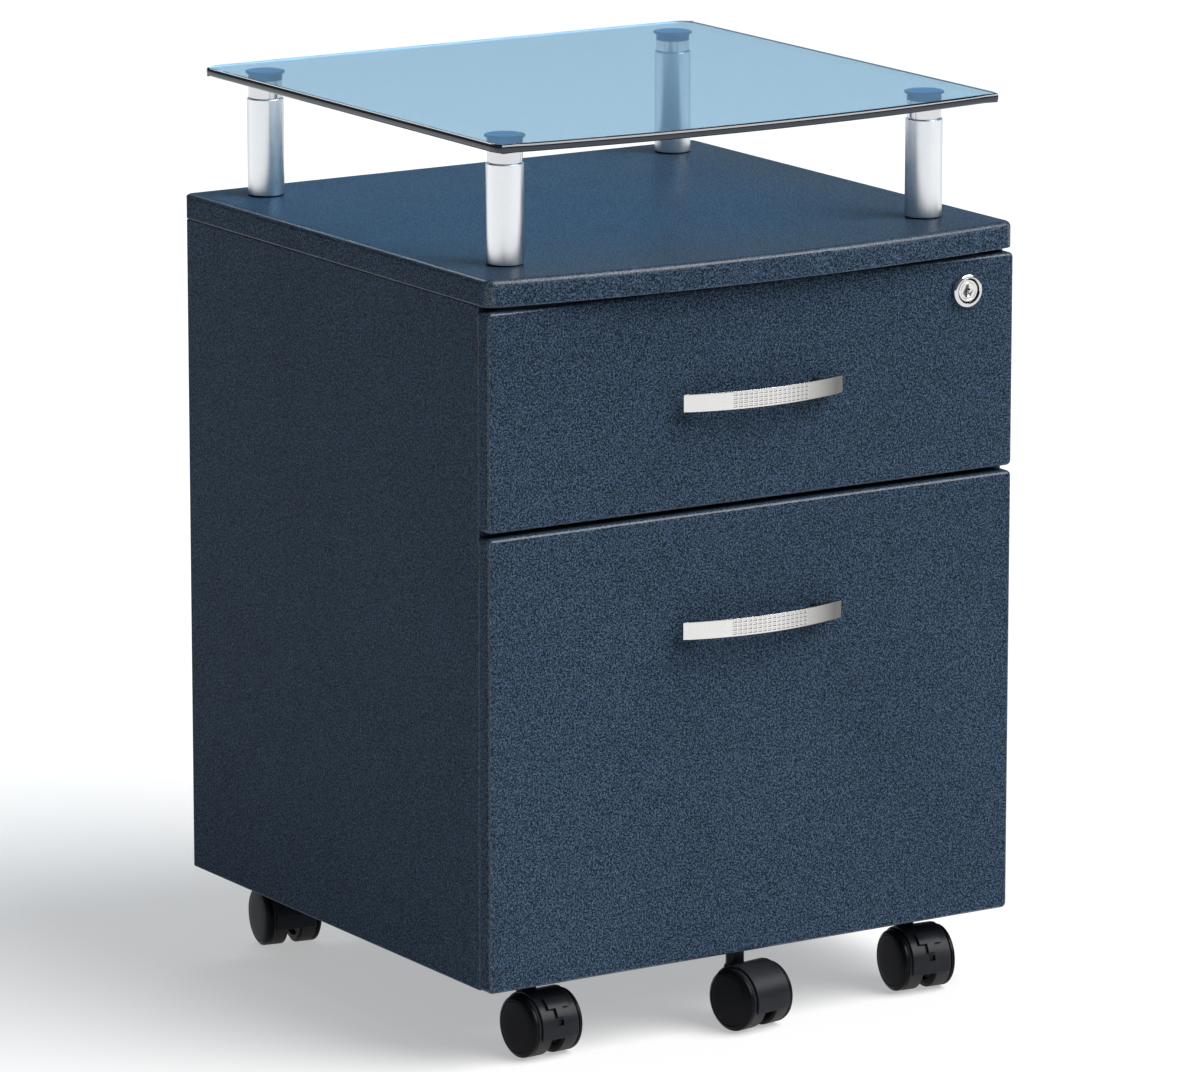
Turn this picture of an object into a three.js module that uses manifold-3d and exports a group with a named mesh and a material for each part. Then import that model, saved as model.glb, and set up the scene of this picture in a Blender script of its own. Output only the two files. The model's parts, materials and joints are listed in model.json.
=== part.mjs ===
// Rolling pedestal cabinet: a box drawer and a file drawer under a raised glass shelf.
// Millimetres, +Z up, drawer fronts facing -Y. Inside the model group the cabinet's underside
// is z = 0 and the front edges of its side panels are y = 0.
import * as THREE from 'three';
import { mergeVertices } from 'three/addons/utils/BufferGeometryUtils.js';
import Module from 'manifold-3d';

const wasm = await Module();
wasm.setup();

// Carcass
const cabinetWidth = 413;
const sideDepth = 380;
const sideHeight = 456;
const boardThickness = 16;
const boardEdgeRadius = 2;
const easedEdge = 1;
const cutMargin = 1;
const backThickness = 6;
const backRecess = 3;
const topThickness = 18;
const topOverhang = 12;
const topBow = 17;
const topCornerRadius = 7;
const topBackCornerRadius = 1.5;
const leastCorner = 0.2;
const topEdgeRadius = 4;
const railThickness = 1.5;
const railDrop = 14;
const railDepth = 40;

// Glass shelf and its standoffs
const glassThickness = 6;
const glassSideInset = 9.5;
const glassFrontInset = 2.5;
const glassBackInset = 5;
const glassBow = 15;
const glassCornerRadius = 12;
const glassEdgeRadius = 2.4;
const postRadius = 12.5;
const postHeight = 67;
const postFoot = 1;
const postEdge = 0.8;
const collarRadius = 11.7;
const collarHeight = 14;
const flangeRadius = 13.5;
const flangeHeight = 1.6;
const postSideInset = 42;
const postFrontY = 34;
const postBackInset = 37;

// Drawer fronts
const frontThickness = 12.5;
const frontSeam = 0.5;
const frontEdgeRadius = 3;
const frontCornerRadius = 3.5;
const frontTopGap = 3;
const drawerGap = 3.5;
const fileFrontHeight = 304;

// Drawer boxes
const slideSpace = 12.5;
const drawerSideThickness = 12;
const drawerBottomThickness = 5;
const bottomGroove = 6;
const drawerRearSpace = 38.5;
const boxSideLift = 12;
const boxSideLockGap = 6.2;
const fileSideLift = 24;
const fileSideDrop = 42;
const hangRailThickness = 3;
const hangRailHeight = 18;
const hangRailRise = 9;

// Roller slides
const slideHeight = 35;
const slideLift = 2;
const slideWall = 1.5;
const slideSetback = 6;
const rollerRadius = 9;
const rollerWidth = 5.5;
const rollerPinRadius = 3;
const rollerClearance = 0.3;
const rollerEndGap = 2;
const pinOverlap = 1;
const pinSink = 0.5;
const flangeEndGap = 3;
const upperFlangeTrim = 2;

// Bow handles
const handleLength = 123;
const handleHeight = 12;
const handleBand = 2.5;
const handleRise = 11;
const handleStand = 6.5;
const handleFoot = 8;
const handleHoleSpacing = 96;
const fileHandleDrop = 76;

// Cam lock
const lockInset = 39.5;
const lockDrop = 22;
const rosetteRadius = 11.3;
const rosetteHeight = 4;
const lockBodyRadius = 9.3;
const lockBodyTail = 8;
const plugRadius = 8.2;
const plugRecess = 1;
const plugEdge = 0.6;
const rosetteLip = 1.2;
const lockClearance = 0.3;
const keyholeWidth = 1.6;
const keyholeHeight = 7;
const keyholeDepth = 5;
const camThickness = 2;
const camLength = 21;
const camWidth = 12;

// Twin-wheel casters
const casterHeight = 54;
const casterSideInset = 55;
const casterFrontInset = 30;
const casterRearInset = 20;
const centreCasterY = 10;
const wheelRadius = 21;
const wheelClearance = 0.7;
const hoodWall = 1.3;
const hoodHalfWidth = 14.5;
const hoodFrontAngle = -16;
const hoodBackAngle = 178;
const webHalfWidth = 3.6;
const wheelGap = 0.7;
const wheelFaceX = 21;
const wheelRim = 4;
const wheelDish = 1.2;
const wheelInnerEdge = 1;
const axleRadius = 3;
const axleHalfLength = 15;
const axleClearance = 0.25;
const hubRadius = 7;
const casterTrail = 16;
const stemRadius = 5.5;
const stemEntry = 14;
const stemClearance = 0.3;
const neckShoulder = 0.7;
const neckGap = 0.5;
const socketWall = 3.2;
const socketPlate = 3;
const socketPlateSize = 52;
const bracketNotch = 44;

// Brake tab: a T lying on the hood's front, hinged along its top bar
const tabThickness = 1.6;
const tabGap = 0.3;
const tabBarHalfWidth = 8.5;
const tabStemHalfWidth = 3;
const tabTopAngle = 57;
const tabBarAngle = 36;
const tabBottomAngle = 21;
const brakeHoleWidth = 5;
const brakeHoleHeight = 4;
const brakeHoleDepth = 1.2;
const brakeHoleRise = 4.8;
const tabOverlapAngle = 4;

// Facets
const roundSegments = 24;
const wheelSegments = 24;
const cornerSteps = 3;
const edgeSteps = 2;
const bowSteps = 16;
const bandSteps = 14;
const rimSteps = 3;
const pinSegments = 12;
const smallSegments = 16;
const tabSegments = 48;
const hoodStepAngle = 12;

// Worked out from the sizes above
const halfWidth = cabinetWidth / 2;
const innerHalf = halfWidth - boardThickness;
const drawerHalf = innerHalf - slideSpace;
const frontBackY = -frontSeam;
const frontFaceY = frontBackY - frontThickness;
const fileFrontTop = fileFrontHeight;
const boxFrontBottom = fileFrontTop + drawerGap;
const boxFrontTop = sideHeight - frontTopGap;
const topZ = sideHeight + topThickness;
const postX = halfWidth - postSideInset;
const postBackY = sideDepth - postBackInset;
const glassHalf = halfWidth - glassSideInset;
const glassFrontY = glassFrontInset - topOverhang;
const glassBackY = sideDepth - glassBackInset;
const glassZ = topZ + postHeight + collarHeight;
const drawerBackY = sideDepth - drawerRearSpace;
const boxHandleZ = (boxFrontBottom + boxFrontTop) / 2;
const fileHandleZ = fileFrontTop - fileHandleDrop;
const lockX = halfWidth - lockInset;
const lockZ = boxFrontTop - lockDrop;
const boxSideBottom = boxFrontBottom + boxSideLift;
const boxSideTop = lockZ - lockBodyRadius - boxSideLockGap;
const fileSideBottom = fileSideLift;
const fileSideTop = fileFrontTop - fileSideDrop;
const handleFrontY = frontFaceY - handleStand - handleRise - handleBand;
const bowFrontY = -topOverhang - topBow;
const modelFrontY = Math.min(handleFrontY, bowFrontY);
const axleZ = wheelRadius - casterHeight;
const hoodRadius = wheelRadius + wheelClearance + hoodWall;
const neckRadius = stemRadius + neckShoulder;
const socketRadius = stemRadius + stemClearance + socketWall;

const lacquer = { color: 0x44525f, roughness: 0.5, metalness: 0.25 };
const shelfGlass = {
  color: 0x7fb0cf, roughness: 0.05, metalness: 0, transparent: true, opacity: 0.4,
};
const satinMetal = { color: 0xc9ced2, roughness: 0.35, metalness: 1 };
const chromeMetal = { color: 0xe2e4e6, roughness: 0.08, metalness: 1 };
const blackPlastic = { color: 0x17181b, roughness: 0.45, metalness: 0 };
const drawerBoard = { color: 0x55595d, roughness: 0.7, metalness: 0 };
const slideSteel = { color: 0xd8d8d4, roughness: 0.4, metalness: 0.4 };
const zincSteel = { color: 0xa9adb0, roughness: 0.4, metalness: 0.9 };

const model = new THREE.Group();
model.position.set(0, -(sideDepth + modelFrontY) / 2, casterHeight);

function addPiece(name, geometry, look, parent = model) {
  const mesh = new THREE.Mesh(geometry, new THREE.MeshStandardMaterial(look));
  mesh.name = name;
  parent.add(mesh);
  return mesh;
}

// A merged copy of a geometry without its normals, texture coordinates and zero-width triangles.
function cleaned(source) {
  const bare = new THREE.BufferGeometry();
  bare.setAttribute('position', source.getAttribute('position').clone());
  bare.setIndex(source.getIndex());
  const merged = mergeVertices(bare, 1e-4);
  const index = merged.getIndex().array;
  const kept = [];
  for (let i = 0; i < index.length; i += 3) {
    const [a, b, c] = [index[i], index[i + 1], index[i + 2]];
    if (a !== b && b !== c && c !== a) kept.push(a, b, c);
  }
  merged.setIndex(kept);
  return merged;
}

function toSolid(geometry) {
  const bare = cleaned(geometry);
  return new wasm.Manifold(new wasm.Mesh({
    numProp: 3,
    vertProperties: new Float32Array(bare.getAttribute('position').array),
    triVerts: new Uint32Array(bare.getIndex().array),
  }));
}

function toGeometry(solid) {
  const mesh = solid.getMesh();
  const geometry = new THREE.BufferGeometry();
  geometry.setAttribute('position', new THREE.BufferAttribute(mesh.vertProperties, 3));
  geometry.setIndex(new THREE.BufferAttribute(mesh.triVerts, 1));
  return geometry;
}

function cut(geometry, ...tools) {
  return toGeometry(tools.reduce((solid, tool) => solid.subtract(toSolid(tool)), toSolid(geometry)));
}

function join(geometry, ...others) {
  return toGeometry(others.reduce((solid, other) => solid.add(toSolid(other)), toSolid(geometry)));
}

function block(x0, x1, y0, y1, z0, z1) {
  const geometry = new THREE.BoxGeometry(x1 - x0, y1 - y0, z1 - z0);
  return geometry.translate((x0 + x1) / 2, (y0 + y1) / 2, (z0 + z1) / 2);
}

// A closed solid through a list of convex rings that all have the same number of points.
function stack(rings) {
  const count = rings[0].length;
  const points = rings.flat();
  const faces = [];
  for (let level = 0; level < rings.length - 1; level += 1) {
    for (let i = 0; i < count; i += 1) {
      const a = level * count + i;
      const b = level * count + ((i + 1) % count);
      faces.push(a, b, a + count, b, b + count, a + count);
    }
  }
  [0, rings.length - 1].forEach((level) => {
    const centre = rings[level].reduce((sum, p) => sum.add(p), new THREE.Vector3());
    points.push(centre.divideScalar(count));
    for (let i = 0; i < count; i += 1) {
      const a = level * count + i;
      const b = level * count + ((i + 1) % count);
      if (level === 0) faces.push(b, a, points.length - 1);
      else faces.push(a, b, points.length - 1);
    }
  });
  const geometry = new THREE.BufferGeometry().setFromPoints(points);
  geometry.setIndex(faces);
  return geometry;
}

function arcPoints(cx, cy, radius, from, to, steps) {
  const points = [];
  for (let i = 0; i <= steps; i += 1) {
    const angle = from + ((to - from) * i) / steps;
    points.push([cx + radius * Math.cos(angle), cy + radius * Math.sin(angle)]);
  }
  return points;
}

function roundedRectangle(halfX, halfY, radius, inset) {
  const x = halfX - radius;
  const y = halfY - radius;
  const turn = Math.PI / 2;
  return [[x, y, 0], [-x, y, 1], [-x, -y, 2], [x, -y, 3]].flatMap(([cx, cy, corner]) => (
    arcPoints(cx, cy, radius - inset, corner * turn, (corner + 1) * turn, cornerSteps)
  ));
}

// Plan outline with straight sides and back, a front edge bowed toward -Y and round corners.
function bowedOutline(half, frontY, backY, bow, radius, backRadius, inset) {
  const bowRadius = (half * half + bow * bow) / (2 * bow);
  const bowCentre = frontY - bow + bowRadius;
  const cx = half - radius;
  const frontCornerY = bowCentre - Math.sqrt((bowRadius - radius) ** 2 - cx * cx);
  const slant = Math.atan2(cx, bowCentre - frontCornerY);
  const r = radius - inset;
  const backR = Math.max(backRadius - inset, leastCorner);
  const backX = half - inset - backR;
  const backCentreY = backY - inset - backR;
  const down = -Math.PI / 2;
  const edge = bowRadius - inset;
  return [
    ...arcPoints(backX, backCentreY, backR, 0, Math.PI / 2, cornerSteps),
    ...arcPoints(-backX, backCentreY, backR, Math.PI / 2, Math.PI, cornerSteps),
    ...arcPoints(-cx, frontCornerY, r, Math.PI, 2 * Math.PI + down - slant, cornerSteps),
    ...arcPoints(0, bowCentre, edge, down - slant, down + slant, bowSteps).slice(1, -1),
    ...arcPoints(cx, frontCornerY, r, down + slant, 0, cornerSteps),
  ];
}

// Levels of a rounded-over edge: [height, inset] pairs from the bottom up.
function edgeLevels(bottom, top, bottomRadius, topRadius) {
  const levels = [];
  [[bottom, bottomRadius, 1], [top, topRadius, -1]].forEach(([level, radius, sign]) => {
    for (let i = 0; i <= (radius > 0 ? edgeSteps : 0); i += 1) {
      const angle = (Math.PI / 2) * (i / edgeSteps);
      levels.push([level + sign * radius * (1 - Math.sin(angle)), radius * (1 - Math.cos(angle))]);
    }
  });
  return levels.sort((a, b) => a[0] - b[0]);
}

function slab(outline, bottom, top, bottomRadius, topRadius) {
  return stack(edgeLevels(bottom, top, bottomRadius, topRadius).map(([z, inset]) => (
    outline(inset).map(([x, y]) => new THREE.Vector3(x, y, z))
  )));
}

function revolve(profile, segments) {
  const points = profile.map(([r, h]) => new THREE.Vector2(r, h));
  return cleaned(new THREE.LatheGeometry(points, segments));
}

function uprightCylinder(x, y, z0, z1, radius, segments = roundSegments) {
  const geometry = new THREE.CylinderGeometry(radius, radius, z1 - z0, segments);
  return geometry.rotateX(Math.PI / 2).translate(x, y, (z0 + z1) / 2);
}

function crossCylinder(x0, x1, y, z, radius, segments = roundSegments) {
  const geometry = new THREE.CylinderGeometry(radius, radius, x1 - x0, segments);
  return geometry.rotateZ(Math.PI / 2).translate((x0 + x1) / 2, y, z);
}

// Carcass: two sides, bottom, back, bowed top and the steel angle that the lock's cam hooks behind.
function addCarcass() {
  const sideOutline = (inset) => (
    roundedRectangle(boardThickness / 2, sideDepth / 2, boardEdgeRadius, inset)
  );
  [['left', -1], ['right', 1]].forEach(([side, sign]) => {
    const panel = slab(sideOutline, 0, sideHeight, easedEdge, 0);
    panel.translate(sign * (halfWidth - boardThickness / 2), sideDepth / 2, 0);
    addPiece(`${side}_side_panel`, panel, lacquer);
  });
  const topOutline = (inset) => (
    bowedOutline(
      halfWidth, -topOverhang, sideDepth, topBow, topCornerRadius, topBackCornerRadius, inset,
    )
  );
  addPiece('top_panel', slab(topOutline, sideHeight, topZ, easedEdge, topEdgeRadius), lacquer);

  const floor = block(-innerHalf, innerHalf, 0, sideDepth - backRecess, 0, boardThickness);
  const notch = block(
    -bracketNotch / 2, bracketNotch / 2, -cutMargin, bracketNotch, -cutMargin, boardThickness + cutMargin,
  );
  const stemHoles = cabinetCasters().map(([, x, y]) => (
    uprightCylinder(x, y, -cutMargin, boardThickness + cutMargin, stemRadius + stemClearance)
  ));
  addPiece('bottom_panel', cut(floor, notch, ...stemHoles), lacquer);

  const backFaceY = sideDepth - backRecess;
  const back = block(
    -innerHalf, innerHalf, backFaceY - backThickness, backFaceY, boardThickness, sideHeight,
  );
  addPiece('back_panel', back, lacquer);

  const angleFront = railThickness;
  const drop = block(
    -innerHalf, innerHalf, angleFront, angleFront + railThickness, sideHeight - railDrop, sideHeight,
  );
  const flange = block(
    -innerHalf, innerHalf, angleFront, railDepth, sideHeight - railThickness, sideHeight,
  );
  addPiece('lock_rail', join(drop, flange), zincSteel);
}

// Glass shelf on four posts; each post carries a narrower collar whose flange is bonded to the glass.
function addShelf() {
  const outline = (inset) => (
    bowedOutline(
      glassHalf, glassFrontY, glassBackY, glassBow, glassCornerRadius, glassCornerRadius, inset,
    )
  );
  const glass = slab(
    outline, glassZ, glassZ + glassThickness, glassEdgeRadius, glassEdgeRadius,
  );
  addPiece('glass_shelf', glass, shelfGlass);

  const postProfile = [
    [0, 0], [postRadius - postFoot, 0], [postRadius - postFoot, postFoot],
    [postRadius, postFoot], [postRadius, postHeight - postEdge],
    [postRadius - postEdge, postHeight], [0, postHeight],
  ];
  const collarProfile = [
    [0, 0], [collarRadius, 0], [collarRadius, collarHeight - flangeHeight],
    [flangeRadius, collarHeight - flangeHeight], [flangeRadius, collarHeight], [0, collarHeight],
  ];
  [['front_left', -1, postFrontY], ['front_right', 1, postFrontY],
    ['rear_left', -1, postBackY], ['rear_right', 1, postBackY]].forEach(([corner, sign, y]) => {
    const post = revolve(postProfile, roundSegments).rotateX(Math.PI / 2).translate(sign * postX, y, topZ);
    addPiece(`post_${corner}`, post, satinMetal);
    const collar = revolve(collarProfile, roundSegments).rotateX(Math.PI / 2);
    collar.translate(sign * postX, y, topZ + postHeight);
    addPiece(`collar_${corner}`, collar, chromeMetal);
  });
}

function frontSlab(z0, z1) {
  const halfHeight = (z1 - z0) / 2;
  const rings = edgeLevels(0, frontThickness, easedEdge, frontEdgeRadius).map(([depth, inset]) => (
    roundedRectangle(halfWidth, halfHeight, frontCornerRadius, inset).map(([x, z]) => (
      new THREE.Vector3(x, frontBackY - depth, z0 + halfHeight + z)
    ))
  ));
  return stack(rings);
}

// Bow handle: a flat band curved in plan, standing on two feet.
function bowHandle(z) {
  const half = handleLength / 2;
  const radius = (half * half + handleRise * handleRise) / (2 * handleRise);
  const innerEndY = frontFaceY - handleStand;
  const centreY = innerEndY - handleRise + radius;
  const sweep = Math.asin(half / radius);
  const down = -Math.PI / 2;
  const outer = arcPoints(0, centreY, radius + handleBand, down - sweep, down + sweep, bandSteps);
  const inner = arcPoints(0, centreY, radius, down + sweep, down - sweep, bandSteps);
  const shape = new THREE.Shape([...outer, ...inner].map(([x, y]) => new THREE.Vector2(x, y)));
  const band = new THREE.ExtrudeGeometry(shape, { depth: handleHeight, bevelEnabled: false });
  band.translate(0, 0, z - handleHeight / 2);
  const feet = [-1, 1].map((sign) => {
    const x = (sign * handleHoleSpacing) / 2;
    const bandY = centreY - Math.sqrt(radius * radius - x * x) - handleBand / 2;
    return block(
      x - handleFoot / 2, x + handleFoot / 2, bandY, frontFaceY, z - handleFoot / 2, z + handleFoot / 2,
    );
  });
  return join(band, ...feet);
}

// Slide member profiles run along Y. The cabinet's carries a roller at its front, the drawer's at
// its rear, so the drawer's flange rolls on one and the other rolls in the cabinet's channel.
function slidePair(drawer, parent, z) {
  const flangeReach = slideSpace - flangeEndGap;
  const rollerZ = z + slideWall + rollerRadius + rollerClearance;
  const rideZ = rollerZ + rollerRadius + rollerClearance;
  const rollerInner = drawerHalf + slideWall + rollerEndGap;
  const y0 = slideSetback;
  const y1 = drawerBackY - slideSetback;
  const frontRollerY = y0 + rollerRadius + rollerEndGap;
  const rearRollerY = y1 - rollerRadius - rollerEndGap;
  [['left', -1], ['right', 1]].forEach(([side, sign]) => {
    const across = (x0, x1) => (sign > 0 ? [x0, x1] : [-x1, -x0]);
    const cabinetWeb = block(...across(innerHalf - slideWall, innerHalf), y0, y1, z, z + slideHeight);
    const lower = block(...across(innerHalf - flangeReach, innerHalf), y0, y1, z, z + slideWall);
    const upperZ = z + slideHeight - slideWall;
    const upper = block(
      ...across(innerHalf - flangeReach + upperFlangeTrim, innerHalf), y0, y1, upperZ, z + slideHeight,
    );
    const frontRoller = crossCylinder(
      ...across(rollerInner, rollerInner + rollerWidth), frontRollerY, rollerZ, rollerRadius, smallSegments,
    );
    const frontPin = crossCylinder(
      ...across(rollerInner + pinOverlap, innerHalf - pinSink), frontRollerY, rollerZ, rollerPinRadius,
      pinSegments,
    );
    const outerMember = join(cabinetWeb, lower, upper, frontPin, frontRoller);
    addPiece(`${drawer}_slide_${side}_cabinet`, outerMember, slideSteel);

    const web = block(
      ...across(drawerHalf, drawerHalf + slideWall), y0, y1, rollerZ - rollerRadius / 2, rideZ + slideWall,
    );
    const ride = block(
      ...across(drawerHalf, rollerInner + rollerWidth), y0, y1, rideZ, rideZ + slideWall,
    );
    const rearRoller = crossCylinder(
      ...across(rollerInner, rollerInner + rollerWidth), rearRollerY, rollerZ, rollerRadius, smallSegments,
    );
    const rearPin = crossCylinder(
      ...across(drawerHalf + pinSink, rollerInner + pinOverlap), rearRollerY, rollerZ, rollerPinRadius,
      pinSegments,
    );
    const innerMember = join(web, ride, rearPin, rearRoller);
    addPiece(`${drawer}_slide_${side}_drawer`, innerMember, slideSteel, parent);
  });
}

// Board drawer: two sides, a back between them and a bottom let into grooves.
function drawerBox(drawer, parent, z, sideTop) {
  const innerX = drawerHalf - drawerSideThickness;
  const y0 = frontBackY;
  const y1 = drawerBackY;
  const bottomZ = z + bottomGroove;
  [['left', -1], ['right', 1]].forEach(([side, sign]) => {
    const x0 = Math.min(sign * innerX, sign * drawerHalf);
    const board = block(x0, x0 + drawerSideThickness, y0, y1, z, sideTop);
    addPiece(`${drawer}_side_${side}`, board, drawerBoard, parent);
  });
  const back = block(
    -innerX, innerX, y1 - drawerSideThickness, y1, bottomZ + drawerBottomThickness, sideTop,
  );
  addPiece(`${drawer}_back`, back, drawerBoard, parent);
  const bottom = block(-innerX, innerX, y0, y1, bottomZ, bottomZ + drawerBottomThickness);
  addPiece(`${drawer}_bottom`, bottom, drawerBoard, parent);
}

function addBoxDrawer() {
  const drawer = new THREE.Group();
  model.add(drawer);
  const front = frontSlab(boxFrontBottom, boxFrontTop);
  const lockHole = new THREE.CylinderGeometry(
    lockBodyRadius + lockClearance, lockBodyRadius + lockClearance, frontThickness * 3, roundSegments,
  );
  lockHole.translate(lockX, frontBackY, lockZ);
  addPiece('box_front', cut(front, lockHole), lacquer, drawer);
  addPiece('box_handle', bowHandle(boxHandleZ), satinMetal, drawer);
  drawerBox('box', drawer, boxSideBottom, boxSideTop);
  slidePair('box', drawer, boxSideBottom + slideLift);
  addLock(drawer);
}

// Cam lock: a housing through the drawer front, a turning plug with a keyhole and a cam behind.
function addLock(parent) {
  const bore = plugRadius + lockClearance;
  const housingProfile = [
    [bore, frontFaceY - rosetteHeight], [rosetteRadius - rosetteLip, frontFaceY - rosetteHeight],
    [rosetteRadius, frontFaceY - rosetteHeight + rosetteLip], [rosetteRadius, frontFaceY],
    [lockBodyRadius, frontFaceY], [lockBodyRadius, lockBodyTail], [bore, lockBodyTail],
    [bore, frontFaceY - rosetteHeight],
  ];
  const housing = revolve(housingProfile, roundSegments).translate(lockX, 0, lockZ);
  addPiece('lock_housing', housing, chromeMetal, parent);

  const plugFaceY = frontFaceY - rosetteHeight + plugRecess;
  const camY = lockBodyTail + plugRecess;
  const plugProfile = [
    [0, plugFaceY], [plugRadius - plugEdge, plugFaceY], [plugRadius, plugFaceY + plugEdge],
    [plugRadius, camY], [0, camY],
  ];
  const plug = revolve(plugProfile, roundSegments);
  const keyhole = block(
    -keyholeWidth / 2, keyholeWidth / 2, plugFaceY - cutMargin, plugFaceY + keyholeDepth,
    -keyholeHeight / 2, keyholeHeight / 2,
  );
  addPiece('lock_plug', cut(plug, keyhole).translate(lockX, 0, lockZ), satinMetal, parent);

  const pivotEnd = new THREE.CylinderGeometry(camWidth / 2, camWidth / 2, camThickness, roundSegments);
  pivotEnd.translate(lockX, camY + camThickness / 2, lockZ);
  const arm = block(
    lockX - camLength, lockX, camY, camY + camThickness, lockZ - camWidth / 4, lockZ + camWidth / 4,
  );
  addPiece('lock_cam', join(pivotEnd, arm), zincSteel, parent);
}

// File drawer: the same box, deeper, with two rails for hanging folders and its own caster.
function addFileDrawer() {
  const drawer = new THREE.Group();
  model.add(drawer);
  addPiece('file_front', frontSlab(0, fileFrontTop), lacquer, drawer);
  addPiece('file_handle', bowHandle(fileHandleZ), satinMetal, drawer);
  drawerBox('file', drawer, fileSideBottom, fileSideTop);
  slidePair('file', drawer, fileSideBottom + slideLift);

  const innerX = drawerHalf - drawerSideThickness;
  const railTop = fileSideTop + hangRailRise;
  const railEndY = drawerBackY - drawerSideThickness;
  [['left', -1], ['right', 1]].forEach(([side, sign]) => {
    const x0 = Math.min(sign * innerX, sign * (innerX - hangRailThickness));
    const rail = block(
      x0, x0 + hangRailThickness, frontBackY, railEndY, railTop - hangRailHeight, railTop,
    );
    addPiece(`hanging_rail_${side}`, rail, zincSteel, drawer);
  });

  const plateTop = fileSideBottom + bottomGroove;
  const plate = block(
    -socketPlateSize / 2, socketPlateSize / 2, frontBackY, frontBackY + socketPlateSize,
    plateTop - socketPlate, plateTop,
  );
  const tube = uprightCylinder(0, centreCasterY, 0, plateTop - socketPlate / 2, socketRadius);
  const hole = uprightCylinder(
    0, centreCasterY, -cutMargin, stemEntry + cutMargin, stemRadius + stemClearance,
  );
  addPiece('centre_caster_socket', cut(join(plate, tube), hole), zincSteel, drawer);
}

// Each cabinet caster's place, swivel axis, angle at rest in degrees, and whether it has a brake.
function cabinetCasters() {
  const x = halfWidth - casterSideInset;
  const rearY = sideDepth - casterRearInset;
  return [
    ['front_left', -x, casterFrontInset, 4, true], ['front_right', x, casterFrontInset, -5, true],
    ['rear_left', -x, rearY, -9, false], ['rear_right', x, rearY, 6, false],
  ];
}

// A slice of a disc about the axle, between two angles measured up from the front (-Y).
function hoodSector(radius, from, to, halfX) {
  const steps = Math.max(cornerSteps, Math.round(Math.abs(to - from) / hoodStepAngle));
  const rad = Math.PI / 180;
  const rim = arcPoints(0, 0, radius, from * rad, to * rad, steps);
  const shape = new THREE.Shape([[0, 0], ...rim].map(([x, y]) => new THREE.Vector2(x, y)));
  const sector = new THREE.ExtrudeGeometry(shape, { depth: halfX * 2, bevelEnabled: false });
  // The shape's x runs to the front and its y up; the extrusion runs across the wheels.
  sector.applyMatrix4(new THREE.Matrix4().makeBasis(
    new THREE.Vector3(0, -1, 0), new THREE.Vector3(0, 0, 1), new THREE.Vector3(-1, 0, 0),
  ));
  return sector.translate(halfX, -casterTrail, axleZ);
}

// Hood with its swivel stem and axle: a shell over both wheels, a web between them.
function casterHood(braked) {
  const clearance = wheelRadius + wheelClearance;
  const shell = hoodSector(hoodRadius, hoodFrontAngle, hoodBackAngle, hoodHalfWidth);
  const neckBottom = axleZ + hubRadius;
  const neck = uprightCylinder(0, 0, neckBottom, -neckGap, neckRadius, smallSegments);
  const wheelRooms = [-1, 1].map((sign) => {
    const inner = sign * webHalfWidth;
    const outer = sign * wheelFaceX;
    return crossCylinder(
      Math.min(inner, outer), Math.max(inner, outer), -casterTrail, axleZ, clearance,
    );
  });
  const hub = crossCylinder(-webHalfWidth, webHalfWidth, -casterTrail, axleZ, hubRadius, smallSegments);
  const axle = crossCylinder(
    -axleHalfLength, axleHalfLength, -casterTrail, axleZ, axleRadius, pinSegments,
  );
  const stem = uprightCylinder(0, 0, -neckGap - cutMargin, stemEntry, stemRadius, smallSegments);
  const hood = join(cut(join(shell, neck), ...wheelRooms), hub, axle, stem);
  if (!braked) return hood;
  const frontY = -casterTrail - hoodRadius;
  const holeZ = axleZ + brakeHoleRise;
  const hole = block(
    -brakeHoleWidth / 2, brakeHoleWidth / 2, frontY - cutMargin, frontY + brakeHoleDepth,
    holeZ - brakeHoleHeight / 2, holeZ + brakeHoleHeight / 2,
  );
  return cut(hood, hole);
}

// One wheel, open at its inner side for the axle, with a rounded rim and a dished outer face.
function casterWheel(sign) {
  const inner = webHalfWidth + wheelGap;
  const bore = axleRadius + axleClearance;
  const boreEnd = axleHalfLength + wheelGap;
  const rim = [];
  for (let i = 0; i <= rimSteps; i += 1) {
    const angle = (Math.PI / 2) * (i / rimSteps);
    rim.push([
      wheelRadius - wheelRim * (1 - Math.cos(angle)), wheelFaceX - wheelRim * (1 - Math.sin(angle)),
    ]);
  }
  const profile = [
    [bore, inner], [wheelRadius - wheelInnerEdge, inner], [wheelRadius, inner + wheelInnerEdge], ...rim,
    [0, wheelFaceX - wheelDish], [0, boreEnd], [bore, boreEnd], [bore, inner],
  ];
  const wheel = revolve(profile, wheelSegments);
  wheel.rotateZ(-Math.PI / 2);
  if (sign < 0) wheel.rotateY(Math.PI);
  return wheel.translate(0, -casterTrail, axleZ);
}

function brakeTab() {
  const inner = hoodRadius + tabGap;
  const outer = inner + tabThickness;
  const shellBetween = (from, to, halfX) => cut(
    hoodSector(outer, from, to, halfX),
    crossCylinder(-halfX - cutMargin, halfX + cutMargin, -casterTrail, axleZ, inner, tabSegments),
  );
  const bar = shellBetween(tabBarAngle, tabTopAngle, tabBarHalfWidth);
  const stem = shellBetween(tabBottomAngle, tabBarAngle + tabOverlapAngle, tabStemHalfWidth);
  return join(bar, stem);
}

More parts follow.
